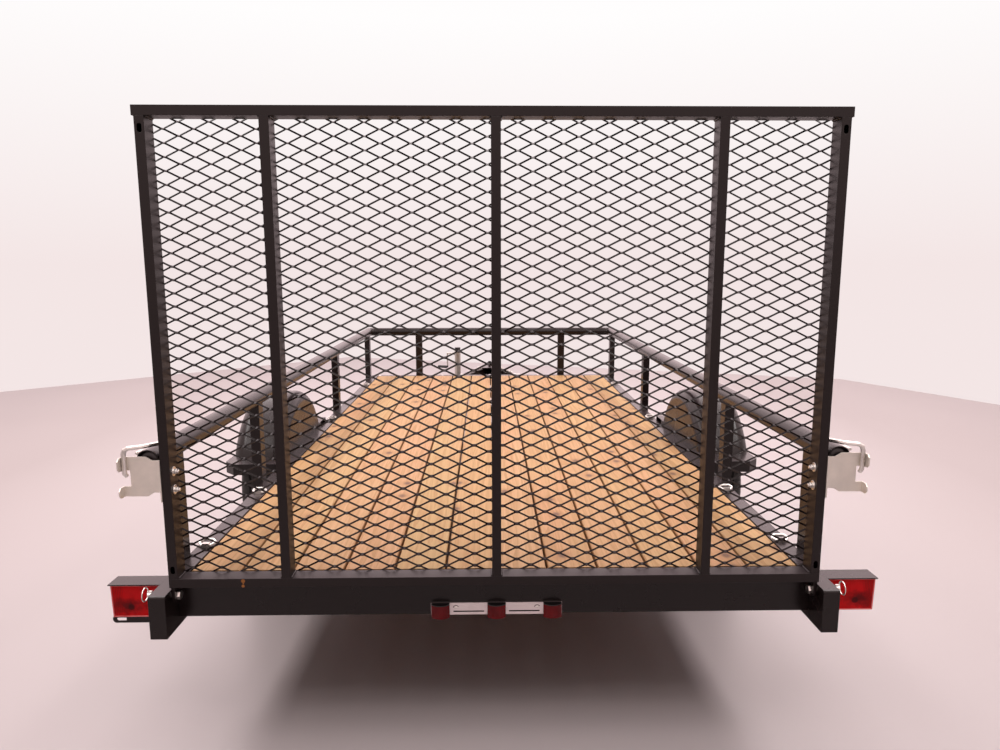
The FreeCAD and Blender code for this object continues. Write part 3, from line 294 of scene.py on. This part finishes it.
def plated(name, low, high, rough, metallic=1.0):
    """Zinc plate with faint clouding; a dull one is in part like a pale paint."""
    n = Look(name)
    cloud = n.noise(26.0, 4.0)
    return n.set(Base_Color=n.mix(n.range(cloud, 0.3, 0.7), low, high), Metallic=metallic,
                 Roughness=n.range(cloud, 0.3, 0.7, *rough),
                 Normal=n.bump(n.noise(420.0, 2.0), 0.05, 0.0003, n.soft_edges(0.0008)))


def dark_beyond(n, axis, limit, sign, colour):
    """Paints what lies past the limit on one axis, on the side that the sign gives."""
    past = n.times(n.math("SUBTRACT", n.split(n.place)[axis], limit), sign)
    painted = n.range(past, 0.0, 0.0004)
    n.set(Base_Color=n.mix(painted, n.colour_so_far(), colour), Metallic=n.math("SUBTRACT", 1.0, painted))


def rubber():
    """Matt tyre rubber, a little greyer in clouds."""
    n = Look("tyre_rubber")
    cloud = n.noise(14.0, 5.0)
    return n.set(Base_Color=n.mix(n.range(cloud, 0.3, 0.7), (0.016, 0.015, 0.015), (0.034, 0.031, 0.029)),
                 Roughness=n.range(cloud, 0.3, 0.7, 0.6, 0.78), Normal=n.bump(n.noise(500.0), 0.15, 0.0004))


def silver_paint():
    """Metallic wheel paint under a thin clear coat."""
    n = Look("wheel_silver")
    cloud = n.noise(6.0, 3.0)
    flakes = n.noise(1500.0, 1.0)
    return n.set(Base_Color=n.mix(n.range(cloud, 0.3, 0.7), (0.56, 0.56, 0.57), (0.66, 0.66, 0.67)),
                 Metallic=0.75, Roughness=n.range(flakes, 0.3, 0.7, 0.32, 0.44),
                 Coat_Weight=0.4, Coat_Roughness=0.1, Normal=n.soft_edges(0.0015))


def red_lens(name, low, high, clear):
    """Moulded red plastic with a faint pebble; clear is the share of light let through."""
    n = Look(name)
    cloud = n.noise(30.0, 2.0)
    return n.set(Base_Color=n.mix(n.range(cloud, 0.3, 0.7), low, high), Roughness=0.16, IOR=1.5,
                 Transmission_Weight=clear, Specular_IOR_Level=0.08, Coat_Weight=0.03, Coat_Roughness=0.05,
                 Normal=n.bump(n.noise(260.0, 2.0), 0.12, 0.0004))


def shade_by_bulb(n):
    """Paints on a lens the dark shape of the bulb behind it, painted shadow round the bulb, and painted shade
    along the ribs moulded in its outer half.
    """
    bulb_x = lamp_high.x - 0.056
    bulb_z = lamp_low.z + 0.030
    # The patch is painted shadow round the bulb
    patch_x = bulb_x + 0.014
    patch_z = bulb_z + 0.004
    patch_flat = 0.45            # height of the patch over its width
    painted_bulb_shadow = (0.13, 0.002, 0.004)
    dark_bulb = (0.05, 0.003, 0.004)
    painted_rib_shade = (0.20, 0.003, 0.004)

    place = n.vector_math("ABSOLUTE", n.place)
    x = n.split(place)["X"]
    from_bulb = n.vector_math("DISTANCE", n.scaled((1, 0, 1), place), (bulb_x, 0, bulb_z))
    from_patch = n.vector_math("DISTANCE", n.scaled((patch_flat, 0, 1), place),
                               (patch_x * patch_flat, 0, patch_z))
    wavy = n.math("ADD", from_patch, n.times(n.noise(60.0, 3.0), 0.040))
    rib = n.range(n.math("PINGPONG", x, rib_pitch / 2), 0.0004, 0.0016)
    outer_half = n.range(x, bulb_x + 0.018, bulb_x + 0.03, 0.0, 0.45)
    # Painted shadow round the bulb, the bulb's dark shape seen through the lens, and painted shade along the
    # ribs
    n.set(Base_Color=n.layers(n.colour_so_far(),
                              (n.range(wavy, 0.024, 0.050, 0.9, 0.0), painted_bulb_shadow),
                              (n.range(from_bulb, 0.0075, 0.011, 0.8, 0.0), dark_bulb),
                              (n.times(rib, outer_half), painted_rib_shade)))


paint = black_paint("black_paint")
gate_paint = black_paint("gate_paint", rough=0.34)
mesh_paint = black_paint("mesh_paint", edge_radius=0, gloss=0.22)
plug = black_paint("end_plug", edge_radius=0, gloss=0.45, rough=0.28)
boards = pine()
zinc = plated("zinc", (0.62, 0.60, 0.57), (0.76, 0.74, 0.70), rough=(0.24, 0.36))
latch_zinc = plated("latch_zinc", (0.78, 0.73, 0.66), (0.88, 0.82, 0.74), rough=(0.38, 0.48), metallic=0.55)
bar_zinc = plated("bar_zinc", (0.66, 0.60, 0.60), (0.74, 0.68, 0.67), rough=(0.3, 0.4))
jack_zinc = plated("jack_zinc", (0.46, 0.43, 0.39), (0.58, 0.55, 0.50), rough=(0.3, 0.42))
crank_zinc = plated("crank_zinc", (0.58, 0.55, 0.50), (0.70, 0.67, 0.62), rough=(0.26, 0.38))
tyre = rubber()
silver = silver_paint()
lens = red_lens("red_lens", (0.66, 0.002, 0.004), (0.80, 0.004, 0.007), clear=0.06)
rim_lens = red_lens("rim_lens", (0.90, 0.16, 0.16), (0.95, 0.26, 0.26), clear=0.0)
dark_lens = red_lens("dark_lens", (0.17, 0.004, 0.006), (0.25, 0.007, 0.010), clear=0.20)
reflector = Look("lamp_reflector").set(Base_Color=(0.85, 0.30, 0.28, 1), Roughness=0.35)

# Black plastic on plated nodes: the marker lamps' hoods, the jack's cap and the crank's grip
black_hood = (0.010, 0.007, 0.008)
black_plastic = (0.02, 0.018, 0.018)
dark_beyond(bar_zinc, "Y", marker_foot, -1.0, black_hood)
dark_beyond(jack_zinc, "Z", jack_cap_foot, 1.0, black_plastic)
dark_beyond(crank_zinc, "Z", crank_grip_top, -1.0, black_plastic)
shade_by_bulb(lens)

by_slot = {"black_paint": paint, "pine": boards, "zinc": zinc, "tyre_rubber": tyre,
           "wheel_silver": silver, "red_lens": lens}
by_node = {"gate_top_bar": gate_paint, "gate_bottom_bar": gate_paint, "gate_uprights": gate_paint,
           "latch_plates": latch_zinc, "id_light_bar": bar_zinc, "jack_tube": jack_zinc,
           "jack_crank": crank_zinc, "id_lamps": dark_lens}


def dress_nodes():
    """Gives each CAD node its own look, or else the look of its slot."""
    for part in frame["record"]["subparts"]:
        look = by_node.get(part["node"], by_slot[part["material_slot"]])
        data = nodes[part["node"]].data
        data.materials.clear()
        data.materials.append(look.material)


def both_sides(values):
    """Each value with the sign of the right side, then of the left."""
    return [(sign, value) for value in values for sign in (1, -1)]


class Shape:
    """Points and faces of one piece, gathered from rows of rings."""

    def __init__(self):
        self.verts = []
        self.faces = []

    def rings(self, rows, closed=False):
        """Skins a row of like rings; the ends are capped unless the row closes on itself."""
        start = len(self.verts)
        count = len(rows[0])
        for row in rows:
            self.verts.extend(row)
        for k in range(len(rows) if closed else len(rows) - 1):
            here = start + k * count
            there = start + (k + 1) % len(rows) * count
            for c in range(count):
                after = (c + 1) % count
                self.faces.append((here + c, here + after, there + after, there + c))
        if not closed:
            self.faces.append(tuple(range(start, start + count)))
            self.faces.append(tuple(range(start + (len(rows) - 1) * count, len(self.verts))))

    def turned(self, at, axis, profile, sides=20):
        """Rings round an axis; each row of the profile is a radius and a distance along it."""
        axis = Vector(axis).normalized()
        across = axis.orthogonal().normalized()
        up = axis.cross(across)
        turns = [2 * math.pi * k / sides for k in range(sides)]
        self.rings([[Vector(at) + axis * along + (across * math.cos(t) + up * math.sin(t)) * radius
                     for t in turns] for radius, along in profile])

    def block(self, low, high, edge):
        """Box with chamfered edges."""
        (x0, y0, z0), (x1, y1, z1) = low, high
        rows = []
        for z, inset in ((z0, edge), (z0 + edge, 0), (z1 - edge, 0), (z1, edge)):
            a, b, c, d = x0 + inset, x1 - inset, y0 + inset, y1 - inset
            rows.append([Vector(p) for p in (
                (a + edge, c, z), (b - edge, c, z), (b, c + edge, z), (b, d - edge, z),
                (b - edge, d, z), (a + edge, d, z), (a, d - edge, z), (a, c + edge, z))])
        self.rings(rows)

    def block_on_side(self, sign, low, high, edge):
        """The same box, mirrored to the left side where the sign is -1."""
        x0, x1 = sorted((sign * low[0], sign * high[0]))
        self.block((x0, *low[1:]), (x1, *high[1:]), edge)

    def bead(self, start, end, radius, ripple=0.0042):
        """Run of weld, a rod with a ripple for each stop of the torch."""
        end_radius = radius * 0.35
        start = Vector(start)
        run = Vector(end) - start
        steps = max(4, round(run.length / ripple * 3))
        profile = [(end_radius, 0.0)]
        for k in range(1, steps):
            swell = (1.0, 0.86, 0.93)[k % 3]
            profile.append((radius * swell, run.length * k / steps))
        profile.append((end_radius, run.length))
        self.turned(start, run, profile, sides=8)

    def bolt(self, at, axis, radius, head, washer=0.0, tip=0.0):
        """Washer, hexagon head or nut, and the thread that stands beyond a nut."""
        washer_thick = 0.0020
        at = Vector(at)
        axis = Vector(axis).normalized()
        if washer:
            self.turned(at, axis, [(washer * 0.94, 0), (washer, 0.0004), (washer, 0.0015),
                                   (washer * 0.94, washer_thick)], sides=28)
            at = at + axis * washer_thick
        hexagon = [(radius, 0), (radius, head - radius * 0.18), (radius * 0.82, head)]
        self.turned(at, axis, hexagon, sides=6)
        if tip:
            self.turned(at + axis * (head - 0.001), axis,
                        [(tip, 0), (tip, tip * 1.1), (tip * 0.75, tip * 1.4)], sides=14)

    def piece(self, name, body, look, slot, smooth=None):
        """Makes the object; faces that meet at less than the smooth angle, in degrees, blend."""
        mesh = bpy.data.meshes.new(name)
        mesh.from_pydata(self.verts, [], self.faces)
        shape = bmesh.new()
        shape.from_mesh(mesh)
        bmesh.ops.recalc_face_normals(shape, faces=shape.faces)
        shape.to_mesh(mesh)
        shape.free()
        if smooth:
            mesh.shade_smooth()
            mesh.set_sharp_from_angle(angle=math.radians(smooth))
        mesh.materials.append(look.material)
        obj = bpy.data.objects.new(name, mesh)
        bpy.context.collection.objects.link(obj)
        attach(obj, body)
        return obj


def share_inside(spans):
    """Start and end of the share of a straight run that lies within the limits on each axis.
    Each span is where the run begins, how far it goes, and the low and the high limit."""
    start, end = 0.0, 1.0
    for at, run, low, high in spans:
        crossings = sorted(((low - at) / run, (high - at) / run))
        start = max(start, crossings[0])
        end = min(end, crossings[1])
    return start, end


def expanded_metal():
    """Gate mesh: straight strands that lean, joined at short flat bonds."""
    long_way = 0.08042
    short_way = 0.03545
    first_x = 0.01818            # one bond, low in the middle of the gate
    first_z = deck_top + 0.01346
    y = gate_rear + 0.0534
    limit_x = half_gate - 0.0125
    limit_low = gate_low.z + 0.004
    limit_high = gate_top - 0.006
    half_thick = 0.0009
    shortest = 0.04              # share of a strand; a shorter rest at the border is left out
    half_x = long_way / 2
    half_z = short_way / 2
    bond = 0.0022 / half_x       # share of a strand's run that is bond, at each end
    neck = bond * 2.2            # share at which it has its own lean and width
    columns = int(2 * limit_x / long_way) + 2
    low_row = -2
    rows = int((limit_high - first_z) / half_z) + 1
    # Share of the run, lean in radians and half width
    strand = (0.60, 0.00265)
    first_half = ((0.0, 1.14, 0.00520), (bond, 1.02, 0.00450), (neck, *strand))
    stations = [*first_half, *[(1 - run, lean, wide) for run, lean, wide in reversed(first_half)]]

    shape = Shape()
    for j in range(low_row, rows + 1):
        for i in range(-columns, columns + 1):
            if (i + j) % 2:
                continue
            x = first_x + i * half_x
            z = first_z + j * half_z
            for way in (1, -1):
                start, end = share_inside(((x, way * half_x, -limit_x, limit_x),
                                           (z, half_z, limit_low, limit_high)))
                if end - start < shortest:
                    continue
                first = (start, *strand) if start > 0 else stations[0]
                last = (end, *strand) if end < 1 else stations[-1]
                between = [row for row in stations if start < row[0] < end]
                ring_rows = []
                for run, lean, wide in (first, *between, last):
                    # Bonds run level, so a strand rises between them only
                    rise = min(max((run - bond) / (1 - 2 * bond), 0.0), 1.0)
                    centre = Vector((x + way * run * half_x, y, z + rise * half_z))
                    across = Vector((0, math.sin(lean), math.cos(lean))) * wide
                    depth = Vector((0, math.cos(lean), -math.sin(lean))) * half_thick
                    ring_rows.append([centre + across * a + depth * d
                                      for a, d in ((1, 1), (1, -1), (-1, -1), (-1, 1))])
                shape.rings(ring_rows)
    piece = shape.piece("gate_expanded_metal", "gate", mesh_paint, "black_paint")
    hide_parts("gate_mesh_back", "gate_mesh_front")


def tyre_section(radius):
    """Half of a tyre's section, from its middle to the bead; each row is the offset from the
    middle, the radius, the share of the zigzag that it follows and whether the slots cut it."""
    groove_depth = 0.0075
    groove_sides = ((-0.0042, 0.0), (-0.0030, groove_depth), (0.0030, groove_depth), (0.0042, 0.0))
    # Offset and drop below the tread's crown
    shoulder = ((0.0575, 0.0017), (0.0700, 0.0035), (0.0800, 0.0110), (0.0875, 0.0250))
    # Offset and radius: a ring round the side wall, its belly, the rim's guard and the bead
    side_wall = ((0.0930, 0.3080), (0.0938, 0.3060), (0.0930, 0.3040), (0.0975, 0.2900), (0.1008, 0.2740),
                 (0.1014, 0.2630), (0.1000, 0.2490), (0.0965, 0.2360), (0.0970, 0.2345), (0.0955, 0.2325),
                 (0.0880, 0.2190), (0.0790, 0.2105), (0.0717, 0.2065), (0.0717, 0.1963))
    section = []
    for groove in (0.0155, 0.0440):
        for offset, drop in groove_sides:
            section.append((groove + offset, radius - drop - 0.6 * groove ** 2, 1.0, False))
    section.append((0.0560, radius - 0.0016, 0.0, False))
    section += [(offset, radius - drop, 0.0, True) for offset, drop in shoulder]
    section.append((0.0885, radius - 0.0275, 0.0, False))
    section += [(offset, wall_radius, 0.0, False) for offset, wall_radius in side_wall]
    return section


def tyre_piece(side, sign):
    """Trailer tyre with four zigzag grooves, slotted shoulders and ringed side walls."""
    low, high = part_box("tyre_" + side)
    centre = (low + high) / 2
    pitches = 52
    steps = (0.0, 0.14, 0.20, 0.40, 0.46, 0.73)   # shares of a pitch; the slot's walls slope
    slot_from = 0.17
    slot_to = 0.43
    slot_depth = 0.0065
    zigzag = 0.0022
    zigzag_lead = 0.27           # share of a pitch
    half = tyre_section((high.z - low.z) / 2)
    section = half[::-1] + [(-offset, *rest) for offset, *rest in half]

    rows = []
    for pitch in range(pitches):
        for step in steps:
            turn = 2 * math.pi * (pitch + step) / pitches
            wave = zigzag * (1 - 4 * abs((step + zigzag_lead) % 1 - 0.5))
            slot = slot_depth if slot_from < step < slot_to else 0.0
            ring = []
            for offset, radius, follows, slotted in section:
                reach = radius - (slot if slotted else 0.0)
                ring.append(centre + Vector((sign * (offset + follows * wave), reach * math.sin(turn),
                                             reach * math.cos(turn))))
            rows.append(ring)
    shape = Shape()
    shape.rings(rows, closed=True)
    piece = shape.piece("tyre_tread_" + side, "wheel_" + side, tyre, "tyre_rubber", smooth=32)
    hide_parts("tyre_" + side)


def valve_stem(side, sign):
    """Rubber valve with its cap, in the rim's outer face."""
    hole_circle = 0.1560
    hole_turn = 0.35             # radians from the top
    low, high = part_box("tyre_" + side)
    at = (low + high) / 2 + Vector((sign * 0.020, hole_circle * math.sin(hole_turn),
                                    hole_circle * math.cos(hole_turn)))
    profile = [(0.0085, -0.008), (0.0085, 0.004), (0.0060, 0.007), (0.0056, 0.026),
               (0.0044, 0.027), (0.0046, 0.035), (0.0036, 0.037)]
    stem = Shape()
    stem.turned(at, (sign, -0.12, -0.34), profile, sides=16)
    stem.piece("valve_stem_" + side, "wheel_" + side, tyre, "tyre_rubber", smooth=32)


def gate_fasteners():
    """Bolts of the latch plates through the gate's side members."""
    plate_thick = 0.0032
    y = gate_rear + 0.022
    shape = Shape()
    for sign, height in both_sides((0.308, 0.256)):
        z = deck_top + height
        shape.bolt((sign * (half_gate - gate_tube), y, z), (-sign, 0, 0),
                   radius=0.0080, head=0.0075, washer=0.0135, tip=0.0050)
        shape.bolt((sign * (half_gate + plate_thick), y, z), (sign, 0, 0), radius=0.0085, head=0.0065)
    shape.piece("gate_latch_bolts", "gate", zinc, "zinc", smooth=30)


def frame_fasteners():
    """Deck clamp bolts at the beams, and the rods on the pipe ends that the latches close on."""
    beam_y = (beam_low.y + beam_high.y) / 2
    front_y = (front_low.y + front_high.y) / 2
    round_head = [(0.0095, 0), (0.0090, 0.0018), (0.0062, 0.0038), (0.0020, 0.0045)]
    rod_x = 0.978
    rod_z = deck_top + 0.3630
    rod = [(0.0036, 0), (0.0050, 0.0014), (0.0050, 0.0326), (0.0036, 0.034)]
    shape = Shape()
    for sign, x in both_sides((0.866, 0.376)):
        shape.bolt((sign * x, beam_y, beam_low.z), (0, 0, -1),
                   radius=0.0065, head=0.0055, washer=0.0085, tip=0.0040)
        shape.turned((sign * x, front_y, front_high.z), (0, 0, 1), round_head, sides=18)
    for sign in (1, -1):
        shape.turned((sign * rod_x, gate_rear + 0.006, rod_z), (0, 1, 0), rod, sides=16)
    shape.piece("frame_bolts", "frame", zinc, "zinc", smooth=30)


def frame_welds():
    """Upright runs where the posts meet the side rails."""
    axle_y = (axle_low.y + axle_high.y) / 2
    post_rows = (deck_low.y + 0.1016, axle_y - 0.641, axle_y + 0.877, rail_high.y - 0.065)
    half_post = 0.0254
    x = rail_high.x + weld_offset
    shape = Shape()
    for y in post_rows:
        for sign, end in both_sides((-1, 1)):
            at = (sign * x, y + end * (half_post + weld_offset))
            shape.bead((*at, rail_low.z + 0.006), (*at, deck_top - 0.004), radius=0.0036)
    shape.piece("frame_welds", "frame", paint, "black_paint", smooth=60)


def gate_welds():
    """Runs where the gate's uprights meet its top and bottom bars."""
    outer = half_gate - gate_tube / 2
    inner = 0.5885
    joint_heights = (gate_top - gate_tube - weld_offset, gate_low.z + gate_tube + weld_offset)
    shape = Shape()
    for x in (-outer, -inner, 0.0, inner, outer):
        for end in (-1, 1):
            if x * end == outer:     # the outer faces are flush with the bars' ends
                continue
            at_x = x + end * (gate_tube / 2 + weld_offset)
            for z in joint_heights:
                shape.bead((at_x, gate_rear + 0.002, z), (at_x, gate_rear + 0.049, z), radius=0.0034)
    shape.piece("gate_welds", "gate", paint, "black_paint", smooth=60)


def tail_lamp_insides():
    """Reflector, ribs and rim of each tail lamp, round the CAD lens."""
    inner_x = 0.9715
    outer_x = lamp_high.x
    lean = 0.0030                # the outer side stands this much further out at its top
    slant = lean / (lamp_high.z - lamp_low.z)
    rib_count = 7
    rim_rear = lamp_low.y - 0.0016
    rim_front = lamp_low.y + 0.0010
    rim_start = 0.0004           # both from the lamp's border
    rim_end = 0.0036
    side_end = 0.0034
    side_corners = ((side_end, rim_rear), (rim_start, rim_rear),
                    (rim_start, rim_front), (side_end, rim_front))
    plate = Shape()
    ribs = Shape()
    rims = Shape()
    for sign in (1, -1):
        plate.block_on_side(sign, (inner_x + 0.0035, lamp_high.y - 0.0018, lamp_low.z + 0.0035),
                            (outer_x - 0.0075, lamp_high.y - 0.0006, lamp_high.z - 0.0035), edge=0.0003)
        for k in range(rib_count):
            x = outer_x - 0.010 - k * rib_pitch
            ribs.block_on_side(sign, (x - 0.0012, lamp_low.y + 0.0024, lamp_low.z + 0.006),
                               (x + 0.0006, lamp_low.y + 0.0042, lamp_high.z - 0.005), edge=0.0004)
        for z0, z1 in ((lamp_low.z + rim_start, lamp_low.z + rim_end),
                       (lamp_high.z - rim_end, lamp_high.z - rim_start)):
            rims.block_on_side(sign, (inner_x, rim_rear, z0), (outer_x - lean, rim_front, z1), edge=0.0006)
        side = []
        for z in (lamp_low.z + rim_start, lamp_high.z - rim_start):
            x = outer_x - lean + (z - lamp_low.z) * slant
            side.append([Vector((sign * (x - inset), y, z)) for inset, y in side_corners])
        rims.rings(side)
    plate.piece("tail_lamp_reflectors", "frame", reflector, "red_lens")
    ribs.piece("tail_lamp_ribs", "frame", lens, "red_lens")
    rims.piece("tail_lamp_rims", "frame", rim_lens, "red_lens")


def plate_strip():
    """Lower slotted strip of the number plate's holder, on a stem from the upper one."""
    z_low = 0.3240
    z_high = 0.3472
    x_outer = -1.1405
    x_inner = -0.9680
    y_rear = lamp_high.y
    y_front = y_rear + 0.003
    slot_start = x_outer + 0.0164
    slot_end = x_outer + 0.0400
    slot_half = 0.0047
    stem_start = x_inner - 0.0155
    stem_top = 0.3590
    half = (z_high - z_low) / 2
    middle = z_low + half
    turn_steps = 10
    turns = [math.pi / 2 + math.pi * k / turn_steps for k in range(turn_steps + 1)]
    round_end = [(x_outer + half + half * math.cos(t), middle + half * math.sin(t)) for t in turns]
    slot_round = [(slot_start + slot_half * math.cos(t), middle + slot_half * math.sin(t)) for t in turns]
    end_outline = [(slot_start, z_high), *round_end, (slot_start, z_low), *slot_round[::-1]]
    # x and z of the lower and the upper corner: below the slot, above it, the rest, the stem
    bars = (((slot_start, z_low), (slot_end, middle - slot_half)),
            ((slot_start, middle + slot_half), (slot_end, z_high)),
            ((slot_end, z_low), (x_inner, z_high)),
            ((stem_start, z_high - 0.001), (x_inner, stem_top)))
    shape = Shape()
    shape.rings([[Vector((x, y, z)) for x, z in end_outline] for y in (y_rear, y_front)])
    for (x0, z0), (x1, z1) in bars:
        shape.block((x0, y_rear, z0), (x1, y_front, z1), edge=0.0003)
    shape.piece("plate_strip", "frame", paint, "black_paint")


def pipe_ends():
    """Domed plugs in the open rear ends of the top rails."""
    bore = pipe_radius - 0.0034
    dome = [(0.001, 0.0), (bore * 0.5, 0.0006), (bore * 0.85, 0.0030), (bore, 0.0070), (bore, 0.0200)]
    shape = Shape()
    for sign in (-1, 1):
        at = (sign * (pipe_high.x - pipe_radius), pipe_low.y + 0.0020, pipe_high.z - pipe_radius)
        shape.turned(at, (0, 1, 0), dome, sides=36)
    shape.piece("rail_end_plugs", "frame", plug, "black_paint", smooth=40)


def lamp_bar_trim():
    """Screws of the lamp bar, with painted shade in its pressed slots and along arcs over its screws."""
    face = beam_low.y - 0.004
    slot_inner = 0.0362
    slot_outer = 0.1258
    slot_z = lamp_bar_top - 0.0264
    slot_half = 0.0019
    screw_x = 0.1185
    screw_z = lamp_bar_top - 0.0142
    screw_head = [(0.0042, 0), (0.0040, 0.0012), (0.0026, 0.0022), (0.0010, 0.0024)]
    arch_turns = [math.radians(20 + 28 * k) for k in range(7)]
    # Painted shade: thin black sheets in the pressed slots, and thin arcs over the screws
    painted_slot_shade = Shape()
    screws = Shape()
    for sign in (1, -1):
        painted_slot_shade.block_on_side(sign, (slot_inner, face - 0.0005, slot_z - slot_half),
                           (slot_outer, face + 0.0005, slot_z + slot_half), edge=0.0004)
        arch = [Vector((sign * screw_x + 0.0078 * math.cos(t), face - 0.0004,
                        screw_z + 0.0058 * math.sin(t))) for t in arch_turns]
        for here, there in zip(arch, arch[1:]):
            painted_slot_shade.bead(here, there, radius=0.0010, ripple=0.002)
        screws.turned((sign * screw_x, face, screw_z), (0, -1, 0), screw_head, sides=16)
    painted_slot_shade.piece("lamp_bar_slot_shade", "frame", mesh_paint, "black_paint")
    screws.piece("lamp_bar_screws", "frame", zinc, "zinc", smooth=35)


def add_floor():
    """Floor with painted shade, darker towards the sides, whose far edge follows the room's walls."""
    half_width = 9.0
    near_edge = gate_rear - 7.0
    outline = ((-half_width, near_edge), (half_width, near_edge), (half_width, -5.7),
               (4.22, 4.09), (-2.07, 6.31), (-half_width, 0.23))
    pale = (0.62, 0.525, 0.53)
    palest = (0.67, 0.57, 0.575)
    # Painted shade towards the sides
    painted_side_shade = (0.40, 0.325, 0.32)
    mesh = bpy.data.meshes.new("floor")
    mesh.from_pydata([(x, y, 0) for x, y in outline], [], [tuple(range(len(outline)))])
    n = Look("floor_paint")
    cloud = n.noise(0.35, 2.0)
    # Painted shade: the floor darkens from 1.2 m to 3.2 m out to each side
    side_shade_share = n.range(n.math("ABSOLUTE", n.split(n.place)["X"]), 1.2, 3.2)
    n.set(Base_Color=n.mix(side_shade_share, n.mix(n.range(cloud, 0.25, 0.75), pale, palest), painted_side_shade),
          Roughness=n.range(cloud, 0.2, 0.8, 0.26, 0.34), Specular_IOR_Level=0.35)
    mesh.materials.append(n.material)
    obj = bpy.data.objects.new("floor", mesh)
    bpy.context.collection.objects.link(obj)


def add_room_light():
    """White walls for the camera and for reflections, a weaker glow on the object itself."""
    world = bpy.data.worlds.new("room")
    bpy.context.scene.world = world
    world.use_nodes = True
    n = Nodes(world.node_tree)
    way = n.split(n.add("ShaderNodeTexCoord").outputs["Generated"])
    walls = n.ramp(way["Z"], (0.0, (0.90, 0.79, 0.785)), (0.30, (1.0, 0.985, 0.985)))
    ahead = n.ramp(way["Y"], (0.0, (0.78, 0.62, 0.605)), (0.5, (1.0, 0.79, 0.80)))
    rays = n.add("ShaderNodeLightPath").outputs

    def background(colour, strength):
        return n.add("ShaderNodeBackground", {"Color": colour, "Strength": strength}).outputs[0]

    def either(share, first, second):
        return n.add("ShaderNodeMixShader", enumerate((share, first, second))).outputs[0]

    seen = background(walls, 1.0)
    mirrored = background(ahead, n.range(way["Z"], 0.02, 0.25, 1.0, 1.9))
    glow = background((1.0, 0.94, 0.935, 1), n.range(way["Z"], 0.25, 0.75, 0.04, 0.42))
    glossy = n.math("MAXIMUM", rays["Is Glossy Ray"], rays["Is Transmission Ray"])
    lit = either(glossy, glow, mirrored)
    n.put(n.tree.nodes["World Output"], "Surface", either(rays["Is Camera Ray"], lit, seen))


def add_area_light(name, at, aim, size, power, spread=180.0):
    """Warm white panel that the camera doesn't see; the spread is in degrees."""
    light = bpy.data.lights.new(name, "AREA")
    light.shape = "RECTANGLE"
    light.size, light.size_y = size
    light.energy = power
    light.color = (1, 0.965, 0.95)
    light.spread = math.radians(spread)
    obj = bpy.data.objects.new(name, light)
    obj.location = at
    obj.rotation_euler = (Vector(aim) - Vector(at)).to_track_quat("-Z", "Y").to_euler()
    obj.visible_camera = False
    bpy.context.collection.objects.link(obj)


def add_lights():
    """A long row on each side, a panel overhead and a fill from behind."""
    for name, x in (("left_row", -3.1), ("right_row", 3.1)):
        add_area_light(name, (x, 0.3, 4.4), aim=(x, 0.3, 0), size=(1.0, 9.0), power=128, spread=118)
    add_area_light("ceiling", (0, 0, 4.2), aim=(0, 0, 0), size=(1.6, 7.0), power=60)
    add_area_light("rear_fill", (0, gate_rear - 2.0, 4.6), aim=(0, gate_rear, 0.6), size=(5.0, 1.2), power=30)


add_camera()
dress_nodes()
expanded_metal()
for side, sign in (("left", -1), ("right", 1)):
    tyre_piece(side, sign)
    valve_stem(side, sign)
gate_fasteners()
frame_fasteners()
frame_welds()
gate_welds()
tail_lamp_insides()
plate_strip()
pipe_ends()
lamp_bar_trim()
add_floor()
add_room_light()
add_lights()
